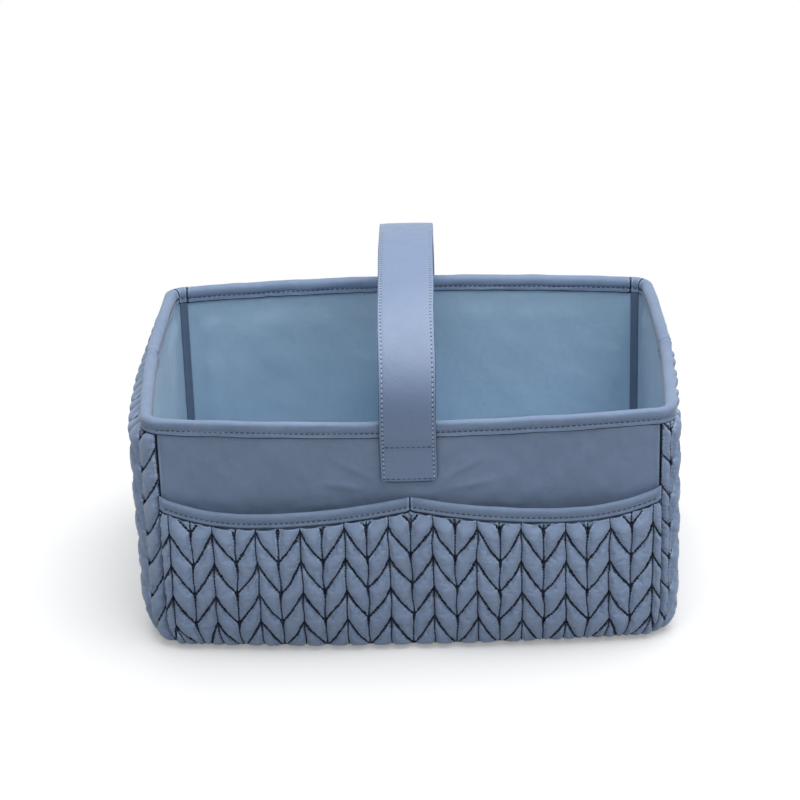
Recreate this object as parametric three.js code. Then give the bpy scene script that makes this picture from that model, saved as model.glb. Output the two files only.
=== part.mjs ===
// A padded fabric caddy: an open body with quilted sides, quilted pockets on the front and the back, a board
// in its base, a divider that lifts out, and one wide carrying strap from front to back.
// Lengths are in millimetres. X runs along the front, the front faces -Y and Z is up from the resting face.
import * as THREE from "three";

// Body, measured at the outer face of the foam in its walls
const bodyHalfWidth = 181.5;
const bodyHalfDepth = 116.5;
const rimHeight = 177;
const cornerRadius = 14;
const frontBowAtRim = 12.5;
const frontBowAtBase = 6.2;
const sideBow = 4.5;
const sideCreaseShare = 0.35;
const sideTuck = 9;
const sideTuckHeight = 24;
const frontTuck = 2.5;
const frontTuckHeight = 12;
const tuckRowShares = [0.2, 0.42, 0.68, 1];
const wallMiddleShare = 0.55;

// Degrees round each corner, from the front or back wall to a seam
const wallSeamTurn = 20;
const rimSeamTurn = 43;
const cornerTapeTurn = 16;

// Cloth, foam, board and the clearances between sewn pieces
const clothThickness = 0.8;
const foamThickness = 3;
const boardThickness = 3;
const floorThickness = 2;
const tapeThickness = 0.6;
const gripThickness = 0.8;
const gap = 0.3;
const seamClearance = 0.8;
const boardClearance = 1;

// Binding round the rim and along the pocket mouths
const rimBindingHeight = 10.5;
const rimCrownDrop = 0.5;
const rimShoulderDrop = 2;
const pocketBindingHeight = 8.6;
const pocketCrownDrop = 0.4;
const pocketShoulderDrop = 1.2;
const bindingEase = 0.4;

// Quilting: a braid of padded leaves between straight and slanting rows of stitches
const leavesAcrossFront = 22;
const leafStepsPerBraid = 4;
const cornerSteps = 3;
const sideSteps = 26;
const leafPitch = 24.6;
const leafDrop = 23.2;
const frontBraidStart = 3.2;
const sideBraidStart = 12;
const leafRowShares = [0, 0.3, 0.7];
const stitchedThickness = 1.6;
const pocketLeafThickness = 6.2;
const sideLeafThickness = 7;
const leafMargin = 3;

// Pockets
const pocketStandOff = 9;
const pocketStandOffPower = 0.7;
const pocketStandOffHeight = 60;
const pocketSeamHeight = 121;
const pocketCornerHeight = 120;
const pocketLowHeight = 111.5;
const pocketLowShare = 0.68;

// Carrying strap
const strapHalfWidth = 19.5;
const strapEndBelowRim = 44.4;
const strapLayerThickness = 1.25;
const strapCornerRadius = 4;
const strapArchAboveRim = 6;
const strapArchRise = 62;
const strapArchPower = 2.3;
const strapBendRun = 7;
const strapArchSteps = 30;
const strapCornerSteps = 3;

// Divider and the grip tapes that hold it
const dividerCoreThickness = 3;
const dividerTop = 145;
const dividerCornerRadius = 12;
const dividerBindingHeight = 8;
const dividerCornerSteps = 4;
const loopTapeHalfWidth = 10;
const hookTapeHalfWidth = 3.2;
const gripTapeLow = 22;
const gripTapeHigh = 128;

// Levels of the layers, as distances out from the foam's outer face
const skinInner = gap;
const skinOuter = skinInner + clothThickness;
const liningOuter = -foamThickness - gap;
const liningInner = liningOuter - clothThickness;
const rimLegOuterInner = skinOuter + gap;
const rimLegOuterOuter = rimLegOuterInner + clothThickness;
const rimLegInnerOuter = liningInner - gap;
const rimLegInnerInner = rimLegInnerOuter - clothThickness;
const pocketInnerAtBase = skinOuter + gap;
const pocketInnerAtMouth = pocketInnerAtBase + clothThickness + gap;

// Levels of the base and the rim, as heights
const wallBase = clothThickness + gap;
const boardTop = wallBase + boardThickness;
const floorBase = boardTop + gap;
const floorTop = floorBase + floorThickness;
const wallTop = rimHeight - rimCrownDrop - clothThickness - gap;
const rimBindingLow = rimHeight - rimBindingHeight;
const strapEndHeight = rimHeight - strapEndBelowRim;
const strapArchBase = rimHeight + strapArchAboveRim;

const degrees = Math.PI / 180;
const lerp = (a, b, share) => a + (b - a) * share;

// The line of the walls, seen from above
const tuckAt = (depth, height, z) => depth * (1 - Math.min(1, z / height)) ** 2;
const halfWidthAt = (z) => bodyHalfWidth - tuckAt(sideTuck, sideTuckHeight, z);
const halfDepthAt = (z) => bodyHalfDepth - tuckAt(frontTuck, frontTuckHeight, z);
const frontBowAt = (z) => lerp(frontBowAtBase, frontBowAtRim, z / rimHeight);
const sideBowAt = (share) =>
  sideBow * lerp(1 - share * share, 1 - Math.abs(share), sideCreaseShare);

// A place along the walls is on the straight front, round the corner, or on the side. Its place at the back
// or on the left is that of its twin, turned over.
const onFront = (share) => ({ wall: "front", share });
const onCorner = (turn) => ({ wall: "corner", turn });
const onSide = (share) => ({ wall: "side", share });
const turnedX = (places) => places.map((p) => ({ ...p, left: !p.left })).reverse();
const turnedY = (places) => places.map((p) => ({ ...p, back: !p.back })).reverse();

function wallPoint(place, z, out) {
  const cornerX = halfWidthAt(z) - cornerRadius;
  const cornerY = halfDepthAt(z) - cornerRadius;
  let x = 0;
  let y = 0;
  if (place.wall === "front") {
    x = place.share * cornerX;
    y = -halfDepthAt(z) - frontBowAt(z) * (1 - place.share ** 2) - out;
  } else if (place.wall === "corner") {
    x = cornerX + (cornerRadius + out) * Math.sin(place.turn * degrees);
    y = -cornerY - (cornerRadius + out) * Math.cos(place.turn * degrees);
  } else {
    x = halfWidthAt(z) + sideBowAt(place.share) + out;
    y = place.share * cornerY;
  }
  return [place.left ? -x : x, place.back ? -y : y, z];
}

// Places of the stitched columns, from left to right on the front and from front to back on the right side
const seamGapTurn = seamClearance / 2 / cornerRadius / degrees;
const frontSeam = onCorner(wallSeamTurn - seamGapTurn);
const [frontSeamLeft] = turnedX([frontSeam]);
const sideSeam = onCorner(wallSeamTurn + seamGapTurn);
const [sideSeamBack] = turnedY([sideSeam]);

function frontPlace(step) {
  if (step > leavesAcrossFront) return frontSeam;
  if (step < -leavesAcrossFront) return frontSeamLeft;
  return onFront(step / leavesAcrossFront);
}

function sidePlace(step) {
  const lastStep = sideSteps + 2 * cornerSteps;
  if (step > lastStep / 2) return turnedY([sidePlace(lastStep - step)])[0];
  if (step === 0) return sideSeam;
  if (step < cornerSteps) return onCorner(lerp(wallSeamTurn, 90, step / cornerSteps));
  return onSide((2 * (step - cornerSteps)) / sideSteps - 1);
}

const stepsBetween = (from, to, stride = 1) => {
  const steps = [];
  for (let step = from; step <= to; step += stride) steps.push(step);
  return steps;
};
const lastSideStep = sideSteps + 2 * cornerSteps;
const frontSteps = stepsBetween(-leavesAcrossFront - 1, leavesAcrossFront + 1);
const allSideSteps = stepsBetween(0, lastSideStep);
const plainFrontPlaces = [
  frontSeamLeft,
  ...stepsBetween(-leavesAcrossFront, leavesAcrossFront, leafStepsPerBraid).map(frontPlace),
  frontSeam,
];
const plainBackPlaces = turnedY(plainFrontPlaces);
const halfSidePlaces = [
  ...stepsBetween(0, cornerSteps).map(sidePlace),
  ...stepsBetween(cornerSteps + 1, lastSideStep / 2 - 1, leafStepsPerBraid).map(sidePlace),
];
const plainRightPlaces = [...halfSidePlaces, onSide(0), ...turnedY(halfSidePlaces)];
const plainLeftPlaces = turnedX(plainRightPlaces);

// Closed surfaces from triangles. Triangles with two corners in one place are left out.
class Surface {
  constructor() {
    this.points = [];
  }
  triangle(a, b, c) {
    if (samePoint(a, b) || samePoint(b, c) || samePoint(c, a)) return;
    this.points.push(...a, ...b, ...c);
  }
  quad(a, b, c, d) {
    this.triangle(a, b, c);
    this.triangle(a, c, d);
  }
  // Fills between two lines of points that both run up
  ribbon(first, second) {
    let i = 0;
    let j = 0;
    while (i < first.length - 1 || j < second.length - 1) {
      const stepFirst =
        j === second.length - 1 || (i < first.length - 1 && first[i + 1][2] <= second[j + 1][2]);
      if (stepFirst) {
        this.triangle(first[i], first[i + 1], second[j]);
        i += 1;
      } else {
        this.triangle(first[i], second[j + 1], second[j]);
        j += 1;
      }
    }
  }
  geometry() {
    const geometry = new THREE.BufferGeometry();
    geometry.setAttribute("position", new THREE.Float32BufferAttribute(this.points, 3));
    geometry.computeVertexNormals();
    return geometry;
  }
}

const samePoint = (a, b) => a[0] === b[0] && a[1] === b[1] && a[2] === b[2];
const distinct = (points) => points.filter((p, i) => i === 0 || !samePoint(p, points[i - 1]));

// A sheet between two grids. Columns run along the wall and rows run up; the outer grid may have more rows.
function sheetBetween(outer, inner) {
  const surface = new Surface();
  const last = outer.length - 1;
  for (let i = 0; i < last; i += 1) {
    for (let j = 0; j < outer[i].length - 1; j += 1) {
      surface.quad(outer[i][j], outer[i + 1][j], outer[i + 1][j + 1], outer[i][j + 1]);
    }
    for (let j = 0; j < inner[i].length - 1; j += 1) {
      surface.quad(inner[i][j], inner[i][j + 1], inner[i + 1][j + 1], inner[i + 1][j]);
    }
    surface.quad(outer[i].at(-1), outer[i + 1].at(-1), inner[i + 1].at(-1), inner[i].at(-1));
    surface.quad(outer[i][0], inner[i][0], inner[i + 1][0], outer[i + 1][0]);
  }
  surface.ribbon(distinct(outer[0]), inner[0]);
  surface.ribbon(inner[last], distinct(outer[last]));
  return surface.geometry();
}

// A closed section carried along a list of rings, with flat ends
function sweepRings(rings, endTriangles) {
  const surface = new Surface();
  const count = rings[0].length;
  for (let i = 0; i < rings.length - 1; i += 1) {
    for (let j = 0; j < count; j += 1) {
      const k = (j + 1) % count;
      surface.quad(rings[i][j], rings[i + 1][j], rings[i + 1][k], rings[i][k]);
    }
  }
  const first = rings[0];
  const final = rings.at(-1);
  for (const [a, b, c] of endTriangles) {
    surface.triangle(first[a], first[b], first[c]);
    surface.triangle(final[a], final[c], final[b]);
  }
  return surface.geometry();
}

const sectionTriangles = (section) =>
  THREE.ShapeUtils.triangulateShape(section.map(([u, v]) => new THREE.Vector2(u, v)), []);

// A folded strip that covers an edge, as a section: over the outside, the top and the inside
function foldedSection(outside, inside, height, crownDrop, shoulderDrop) {
  const middle = (outside + inside) / 2;
  const shoulder = (outside - inside) / 3;
  const innerTop = -crownDrop - clothThickness;
  return [
    [outside, -height],
    [outside, -shoulderDrop],
    [middle + shoulder, -crownDrop * 0.6],
    [middle, 0],
    [middle - shoulder, -crownDrop * 0.6],
    [inside, -shoulderDrop],
    [inside, -height],
    [inside + clothThickness, -height],
    [inside + clothThickness, innerTop],
    [outside - clothThickness, innerTop],
    [outside - clothThickness, -height],
  ];
}

function wallSheet(places, rows, outerFace, innerFace) {
  const column = (face) => places.map((place) => rows.map((z) => wallPoint(place, z, face)));
  return sheetBetween(column(outerFace), column(innerFace));
}

const tuckRows = [wallBase, ...tuckRowShares.map((share) => share * sideTuckHeight)];
const wallRows = [...tuckRows, lerp(sideTuckHeight, rimHeight, wallMiddleShare), wallTop];

// Quilted panels
const rampUp = (step) => Math.abs(((step + 2 + 4 * lastSideStep) % leafStepsPerBraid) - 2) / 2;

function quiltColumn(column, rows) {
  const lowRow = Math.floor((rows.low - rows.start - leafDrop) / leafPitch) - 1;
  const highRow = Math.ceil((rows.high(column) - rows.start) / leafPitch) + 1;
  return { column, lowRow, highRow };
}

// The face of a quilted panel. Each leaf lies between two straight and two slanting rows of stitches, and is
// raised along its middle. Above the quilting the panel is stitched flat, where its binding covers it.
function quiltFace(columns, rows, point) {
  const spans = columns.map((column) => quiltColumn(column, rows));
  const lowRow = Math.min(...spans.map((span) => span.lowRow));
  const highRow = Math.max(...spans.map((span) => span.highRow));
  return columns.map((column) => {
    const quiltTop = rows.high(column);
    const line = [];
    for (let row = lowRow; row <= highRow; row += 1) {
      for (const share of leafRowShares) {
        const z = rows.start + leafPitch * (row + share) + leafDrop * column.rise;
        const level = Math.min(quiltTop, Math.max(rows.low, z));
        const clear = z > rows.low + leafMargin && z < quiltTop - leafMargin;
        const raised = clear && column.raised && share > 0;
        const flat = level === quiltTop || level === rows.low || column.seam;
        const thickness = raised ? rows.leafThickness : stitchedThickness;
        line.push(point(column, level, flat ? clothThickness : thickness));
      }
    }
    line.push(point(column, rows.edge(column), clothThickness));
    return line;
  });
}

const quiltColumns = (steps, placeOf, riseOf, isSeam) =>
  steps.map((step) => ({
    step,
    place: placeOf(step),
    rise: riseOf(step),
    raised: step % 2 !== 0,
    seam: isSeam(step),
  }));

// Side panels
const rightQuiltColumns = quiltColumns(
  allSideSteps,
  sidePlace,
  (step) => 1 - rampUp(step),
  (step) => step === 0 || step === lastSideStep,
);
const sideQuiltRows = {
  start: sideBraidStart,
  low: wallBase,
  leafThickness: sideLeafThickness,
  high: () => rimBindingLow - bindingEase,
  edge: () => wallTop,
};

function sideQuiltedPanel(turn) {
  const columns = rightQuiltColumns.map((column) => ({ ...column, place: turn([column.place])[0] }));
  const ordered = turn === turnedX ? columns.reverse() : columns;
  const outer = quiltFace(ordered, sideQuiltRows, (column, z, thickness) =>
    wallPoint(column.place, z, skinInner + thickness),
  );
  const inner = ordered.map((column) => wallRows.map((z) => wallPoint(column.place, z, skinInner)));
  return sheetBetween(outer, inner);
}

// Pocket panels. Each panel makes two pockets: it is sewn down at both ends and along its middle, and stands
// off the wall between, most at the mouth.
const pocketColumns = quiltColumns(
  frontSteps,
  frontPlace,
  rampUp,
  (step) => Math.abs(step) > leavesAcrossFront,
);
const acrossPocket = (step) => Math.min(1, Math.abs(step) / (leavesAcrossFront + 1));

function pocketInner(step, z) {
  const rise = Math.min(1, z / pocketStandOffHeight);
  const base = lerp(pocketInnerAtBase, pocketInnerAtMouth, rise);
  const across = Math.sin(Math.PI * acrossPocket(step)) ** pocketStandOffPower;
  return base + pocketStandOff * Math.max(0, across) * Math.sin((rise * Math.PI) / 2);
}

function pocketMouth(step) {
  const share = acrossPocket(step);
  if (share < pocketLowShare) {
    const along = share / pocketLowShare;
    return lerp(pocketSeamHeight, pocketLowHeight, 1 - (1 - along) ** 1.5);
  }
  const along = (share - pocketLowShare) / (1 - pocketLowShare);
  return lerp(pocketLowHeight, pocketCornerHeight, along ** 2);
}

const pocketCrown = pocketCrownDrop + clothThickness + gap;
const pocketRows = {
  start: frontBraidStart,
  low: wallBase,
  leafThickness: pocketLeafThickness,
  high: (column) => pocketMouth(column.step) - pocketBindingHeight - bindingEase,
  edge: (column) => pocketMouth(column.step) - pocketCrown,
};
const pocketWallRowShares = [0.45, 1];
const pocketEdgeShare = 0.1;

function turnedColumns(columns, back) {
  if (!back) return columns;
  return columns.map((column) => ({ ...column, place: turnedY([column.place])[0] })).reverse();
}

function pocketPanel(back) {
  const columns = turnedColumns(pocketColumns, back);
  const outer = quiltFace(columns, pocketRows, (column, z, thickness) =>
    wallPoint(column.place, z, pocketInner(column.step, z) + thickness),
  );
  const inner = columns.map((column) => {
    const above = (share) => lerp(sideTuckHeight, pocketRows.edge(column), share);
    const rows = [...tuckRows, ...pocketWallRowShares.map(above)];
    return rows.map((z) => wallPoint(column.place, z, pocketInner(column.step, z)));
  });
  return sheetBetween(outer, inner);
}

function pocketBinding(back) {
  const nearSeam = (step) => Math.min(acrossPocket(step), 1 - acrossPocket(step)) < pocketEdgeShare;
  const columns = turnedColumns(
    pocketColumns.filter(({ step }) => step % 2 === 0 || nearSeam(step)),
    back,
  );
  const section = foldedSection(
    2 * clothThickness + gap,
    -clothThickness - gap,
    pocketBindingHeight,
    pocketCrownDrop,
    pocketShoulderDrop,
  );
  const rings = columns.map((column) => {
    const mouth = pocketMouth(column.step);
    const inner = pocketInner(column.step, mouth);
    return section.map(([out, up]) => wallPoint(column.place, mouth + up, inner + out));
  });
  return sweepRings(rings, sectionTriangles(section));
}

// Rim binding
const rimSection = foldedSection(
  rimLegOuterOuter,
  rimLegInnerInner,
  rimBindingHeight,
  rimCrownDrop,
  rimShoulderDrop,
);

function rimBinding(places) {
  const rings = places.map((place) =>
    rimSection.map(([out, up]) => wallPoint(place, rimHeight + up, out)),
  );
  return sweepRings(rings, sectionTriangles(rimSection));
}

const sideTurnsToRimSeam = (place) => place.wall !== "corner" || place.turn > rimSeamTurn + 1 || !place.back;
const rimRightPlaces = [
  ...plainRightPlaces.filter(sideTurnsToRimSeam),
  ...turnedY([onCorner(rimSeamTurn + seamGapTurn)]),
];
const rimLeftPlaces = turnedX(rimRightPlaces);
const rimFrontPlaces = plainFrontPlaces.slice(1, -1);
const rimCornerPlaces = turnedY(
  [seamGapTurn, wallSeamTurn, rimSeamTurn - seamGapTurn].map(onCorner),
);

// Base, board and floor, each a slab with the outline of the walls at its own height
function outlineShape(z, out) {
  const places = [
    ...plainFrontPlaces.slice(1, -1),
    ...plainRightPlaces,
    ...plainBackPlaces.slice(1, -1),
    ...plainLeftPlaces,
  ];
  return new THREE.Shape(
    places.map((place) => {
      const [x, y] = wallPoint(place, z, out);
      return new THREE.Vector2(x, y);
    }),
  );
}

function slab(low, thickness, out) {
  const options = { depth: thickness, bevelEnabled: false, steps: 1 };
  return new THREE.ExtrudeGeometry(outlineShape(low, out), options).translate(0, 0, low);
}

// Tape over the inside of one corner seam
function cornerTape(turnPlaces) {
  const places = turnPlaces(
    [wallSeamTurn - cornerTapeTurn, wallSeamTurn, wallSeamTurn + cornerTapeTurn].map(onCorner),
  );
  const rows = [
    floorTop + gap,
    ...tuckRowShares.slice(1).map((share) => share * sideTuckHeight),
    rimBindingLow - gap,
  ];
  const outer = liningInner - gap;
  return wallSheet(places, rows, outer, outer - tapeThickness);
}

// Carrying strap: a line in the plane across the body, from its front end over the arch to its back end.
// It lies against the wall, steps out over the rim binding and then rises into the arch.
const middle = onFront(0);
const wallFaceAt = (z, out) => -wallPoint(middle, z, out)[1];
const strapRimFace = wallFaceAt(rimHeight, rimLegOuterOuter) + gap;

function strapLine() {
  const bendLow = rimBindingLow - strapBendRun;
  const half = [
    [wallFaceAt(strapEndHeight, skinOuter) + gap, strapEndHeight],
    [wallFaceAt(bendLow, skinOuter) + gap, bendLow],
    [strapRimFace, rimBindingLow],
  ];
  for (let step = 0; step < strapArchSteps / 2; step += 1) {
    const turn = (step / strapArchSteps) * Math.PI;
    const power = 2 / strapArchPower;
    half.push([
      strapRimFace * Math.cos(turn) ** power,
      strapArchBase + strapArchRise * Math.sin(turn) ** power,
    ]);
  }
  const crown = [0, strapArchBase + strapArchRise];
  return [...half.map(([y, z]) => [-y, z]), crown, ...half.reverse()];
}

// Moves a line sideways by a distance, to its left as it runs
function lineBeside(line, distance) {
  return line.map(([y, z], i) => {
    const [y0, z0] = line[Math.max(0, i - 1)];
    const [y1, z1] = line[Math.min(line.length - 1, i + 1)];
    const length = Math.hypot(y1 - y0, z1 - z0);
    return [y - ((z1 - z0) / length) * distance, z + ((y1 - y0) / length) * distance];
  });
}

const between = (a, b, share) => [lerp(a[0], b[0], share), lerp(a[1], b[1], share)];

// Adds places near both ends of a line, where the strap's corners are rounded off
function withRoundedEnds(line) {
  const [start, second] = line;
  const run = Math.hypot(second[0] - start[0], second[1] - start[1]);
  const corner = [];
  for (let step = 0; step <= strapCornerSteps; step += 1) {
    const turn = (step / strapCornerSteps) * (Math.PI / 2);
    const along = strapCornerRadius * (1 - Math.cos(turn));
    corner.push({
      at: between(start, second, along / run),
      half: strapHalfWidth - strapCornerRadius * (1 - Math.sin(turn)),
    });
  }
  return corner;
}

function strapLayer(inner, outer) {
  const line = strapLine();
  const near = lineBeside(line, inner);
  const far = lineBeside(line, outer);
  const startNear = withRoundedEnds(near);
  const startFar = withRoundedEnds(far);
  const endNear = withRoundedEnds([...near].reverse()).reverse();
  const endFar = withRoundedEnds([...far].reverse()).reverse();
  const middlePart = near
    .map((at, i) => ({ near: at, far: far[i], half: strapHalfWidth }))
    .slice(1, -1);
  const stations = [
    ...startNear.map((s, i) => ({ near: s.at, far: startFar[i].at, half: s.half })),
    ...middlePart,
    ...endNear.map((s, i) => ({ near: s.at, far: endFar[i].at, half: s.half })),
  ];
  const rings = stations.map(({ near: n, far: f, half }) => [
    [-half, ...n],
    [half, ...n],
    [half, ...f],
    [-half, ...f],
  ]);
  return sweepRings(rings, [
    [0, 1, 2],
    [0, 2, 3],
  ]);
}

// Divider, in the plane across the middle of the body. Its ends follow the lean of the front and back walls.
const dividerBase = floorTop + gap;
const gripStack = 2 * gripThickness + 3 * gap;
const liningFaceAt = (z) => wallFaceAt(z, liningInner);
const dividerEndAt = (z) => liningFaceAt(z) - gripStack;

// Outline of the divider from its base at the front, over the top, to its base at the back
function dividerOutline(inset) {
  const top = dividerTop - inset;
  const radius = dividerCornerRadius - inset;
  const bottom = dividerBase;
  const points = [];
  for (let step = 0; step <= dividerCornerSteps; step += 1) {
    const turn = (step / dividerCornerSteps) * (Math.PI / 2);
    const z = top - radius * (1 - Math.sin(turn));
    points.push([dividerEndAt(z) - inset - radius * (1 - Math.cos(turn)), z]);
  }
  const tuckTop = [dividerEndAt(frontTuckHeight) - inset, frontTuckHeight];
  const half = [[dividerEndAt(bottom) - inset, bottom], tuckTop, ...points];
  return [...half.map(([y, z]) => [-y, z]), ...half.reverse()];
}

const acrossBody = new THREE.Matrix4().set(0, 0, 1, 0, 1, 0, 0, 0, 0, 1, 0, 0, 0, 0, 0, 1);

function dividerSlab(inset, low, high) {
  const shape = new THREE.Shape(dividerOutline(inset).map(([y, z]) => new THREE.Vector2(y, z)));
  const options = { depth: high - low, bevelEnabled: false, steps: 1 };
  return new THREE.ExtrudeGeometry(shape, options).translate(0, 0, low).applyMatrix4(acrossBody);
}

const coverInner = dividerCoreThickness / 2 + gap;
const coverOuter = coverInner + clothThickness;
const dividerBindingHalf = coverOuter + gap + clothThickness;

function dividerBinding() {
  const outlines = [0, clothThickness, dividerBindingHeight].map(dividerOutline);
  const inner = dividerBindingHalf - clothThickness;
  const rings = outlines[0].map((_, i) => {
    const [edge, under, leg] = outlines.map((outline) => outline[i]);
    return [
      [-dividerBindingHalf, ...leg],
      [-inner, ...leg],
      [-inner, ...under],
      [inner, ...under],
      [inner, ...leg],
      [dividerBindingHalf, ...leg],
      [dividerBindingHalf, ...edge],
      [-dividerBindingHalf, ...edge],
    ];
  });
  const section = [
    [-dividerBindingHalf, -dividerBindingHeight],
    [-inner, -dividerBindingHeight],
    [-inner, -clothThickness],
    [inner, -clothThickness],
    [inner, -dividerBindingHeight],
    [dividerBindingHalf, -dividerBindingHeight],
    [dividerBindingHalf, 0],
    [-dividerBindingHalf, 0],
  ];
  return sweepRings(rings, sectionTriangles(section));
}

// A tape up the wall, between two distances in from the lining
function gripTape(halfWidth, near, far, back) {
  const faces = [near, far].map((inward) =>
    [gripTapeLow, gripTapeHigh].map((z) => [liningFaceAt(z) - inward, z]),
  );
  const [outer, inner] = faces;
  const point = (x, [y, z]) => [back ? -x : x, back ? y : -y, z];
  const grid = (line) => [-halfWidth, halfWidth].map((x) => line.map((at) => point(x, at)));
  return sheetBetween(grid(outer), grid(inner));
}

// Materials
const cloth = { color: 0x6a7a96, roughness: 0.85 };
const quilt = { color: 0x6b7b97, roughness: 0.8 };
const liningCloth = { color: 0x5f7795, roughness: 0.6 };
const strapHide = { color: 0x8395b4, roughness: 0.5 };
const foam = { color: 0xd9d9d4, roughness: 0.95 };
const board = { color: 0xb9b4a8, roughness: 0.9 };
const grip = { color: 0x55647f, roughness: 1 };

const caddy = new THREE.Group();
caddy.name = "diaper_caddy";

function groupOf(name, pieces) {
  const group = new THREE.Group();
  group.name = name;
  for (const [pieceName, geometry, look] of pieces) {
    const mesh = new THREE.Mesh(geometry, new THREE.MeshStandardMaterial(look));
    mesh.name = pieceName;
    group.add(mesh);
  }
  caddy.add(group);
}

groupOf("base", [
  ["base_outer_panel", slab(0, clothThickness, skinOuter), cloth],
  ["base_board", slab(wallBase, boardThickness, liningInner - boardClearance), board],
  ["lining_floor", slab(floorBase, floorThickness, liningInner - boardClearance), liningCloth],
]);

const creaseShare = gap / 2 / (bodyHalfDepth - cornerRadius);
const frontHalfPlaces = [...halfSidePlaces, onSide(-creaseShare)];
const foamPlaces = {
  foam_front: plainFrontPlaces,
  foam_back: plainBackPlaces,
  foam_right_front: frontHalfPlaces,
  foam_right_back: turnedY(frontHalfPlaces),
  foam_left_front: turnedX(frontHalfPlaces),
  foam_left_back: turnedX(turnedY(frontHalfPlaces)),
};
const foamWall = ([name, places]) => [name, wallSheet(places, wallRows, 0, -foamThickness), foam];
groupOf("padding", Object.entries(foamPlaces).map(foamWall));

const liningWall = (places) => wallSheet(places, wallRows, liningOuter, liningInner);
groupOf("lining", [
  ["lining_front", liningWall(plainFrontPlaces), liningCloth],
  ["lining_back", liningWall(plainBackPlaces), liningCloth],
  ["lining_left", liningWall(plainLeftPlaces), liningCloth],
  ["lining_right", liningWall(plainRightPlaces), liningCloth],
  ["corner_tape_front_right", cornerTape((places) => places), cloth],
  ["corner_tape_back_right", cornerTape(turnedY), cloth],
  ["corner_tape_front_left", cornerTape(turnedX), cloth],
  ["corner_tape_back_left", cornerTape((places) => turnedX(turnedY(places))), cloth],
]);

groupOf("outer_walls", [
  ["front_panel", wallSheet(plainFrontPlaces, wallRows, skinOuter, skinInner), cloth],
  ["back_panel", wallSheet(plainBackPlaces, wallRows, skinOuter, skinInner), cloth],
  ["right_quilted_panel", sideQuiltedPanel((places) => places), quilt],
  ["left_quilted_panel", sideQuiltedPanel(turnedX), quilt],
]);

groupOf("pockets", [
  ["front_pocket_panel", pocketPanel(false), quilt],
  ["front_pocket_binding", pocketBinding(false), cloth],
  ["back_pocket_panel", pocketPanel(true), quilt],
  ["back_pocket_binding", pocketBinding(true), cloth],
]);

const rimMainPlaces = [...rimLeftPlaces, ...rimFrontPlaces, ...rimRightPlaces];
groupOf("rim", [
  ["rim_binding_front_and_sides", rimBinding(rimMainPlaces), cloth],
  ["rim_binding_back", rimBinding(turnedY(rimFrontPlaces)), cloth],
  ["rim_binding_corner_right", rimBinding(rimCornerPlaces), cloth],
  ["rim_binding_corner_left", rimBinding(turnedX(rimCornerPlaces)), cloth],
]);

const strapOuterFrom = strapLayerThickness + gap;
groupOf("strap", [
  ["strap_under_layer", strapLayer(0, strapLayerThickness), strapHide],
  ["strap_outer_layer", strapLayer(strapOuterFrom, strapOuterFrom + strapLayerThickness), strapHide],
]);

const coverInset = clothThickness + gap;
const hookTapeFrom = 2 * gap + gripThickness;
const loopTape = (back) => gripTape(loopTapeHalfWidth, gap, gap + gripThickness, back);
const hookTape = (back) =>
  gripTape(hookTapeHalfWidth, hookTapeFrom, hookTapeFrom + gripThickness, back);
const coreHalf = dividerCoreThickness / 2;
groupOf("loop_tapes", [
  ["loop_tape_front", loopTape(false), grip],
  ["loop_tape_back", loopTape(true), grip],
]);
groupOf("divider", [
  ["divider_core", dividerSlab(coverInset, -coreHalf, coreHalf), foam],
  ["divider_cover_right", dividerSlab(coverInset, coverInner, coverOuter), liningCloth],
  ["divider_cover_left", dividerSlab(coverInset, -coverOuter, -coverInner), liningCloth],
  ["divider_binding", dividerBinding(), cloth],
  ["hook_tape_front", hookTape(false), grip],
  ["hook_tape_back", hookTape(true), grip],
]);

export default caddy;
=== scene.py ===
import math

import bmesh
import bpy
import numpy as np
from mathutils import Matrix, Vector, kdtree
from mathutils.geometry import delaunay_2d_cdt


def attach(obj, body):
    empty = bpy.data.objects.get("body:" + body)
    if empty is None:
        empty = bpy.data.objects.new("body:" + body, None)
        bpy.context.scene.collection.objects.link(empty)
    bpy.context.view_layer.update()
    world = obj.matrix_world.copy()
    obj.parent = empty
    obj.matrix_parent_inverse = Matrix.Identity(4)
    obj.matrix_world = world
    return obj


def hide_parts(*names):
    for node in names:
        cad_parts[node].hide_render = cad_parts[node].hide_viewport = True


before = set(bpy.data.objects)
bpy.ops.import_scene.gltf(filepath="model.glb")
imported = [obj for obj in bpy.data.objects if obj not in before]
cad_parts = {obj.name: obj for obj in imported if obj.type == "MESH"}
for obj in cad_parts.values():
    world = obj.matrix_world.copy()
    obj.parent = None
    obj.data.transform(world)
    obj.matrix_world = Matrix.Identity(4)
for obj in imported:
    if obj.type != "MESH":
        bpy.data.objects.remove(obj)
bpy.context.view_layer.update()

# Lengths in this script are in millimetres until a mesh is made from them.
MM = 0.001
NO_SEAM = 9.0  # what the attribute seam says far from any seam

# Body, as in the part's own source
BODY_X, BODY_Y, RIM, CORNER = 181.5, 116.5, 177.0, 14.0
BOW_RIM, BOW_BASE, SIDE_BOW, CREASE = 12.5, 6.2, 4.5, 0.35
X_TUCK, Y_TUCK = (9.0, 24.0), (2.5, 12.0)  # how far a wall's foot is drawn in, and over what height
SEAM_TURN = 20.0
FRONT_STEPS, CORNER_RUN, SIDE_RUN = 22, 4, 26
CORNER_END = FRONT_STEPS + CORNER_RUN
SIDE_MIDDLE = CORNER_END + SIDE_RUN / 2
SKIN_IN, SKIN_OUT, LINING_OUT, LINING_IN = 0.3, 1.1, -3.3, -4.1
CLOTH = 0.8
BINDING_LOW = RIM - 11.0
FLOOR_TOP = 6.4
PANEL_LOW = 1.1


def tuck(depth, height, z):
    return depth * (1 - np.clip(z / height, 0, 1)) ** 2


def bow(z):
    """How far the front bows out in its middle."""
    return BOW_BASE + (BOW_RIM - BOW_BASE) * z / RIM


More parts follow.
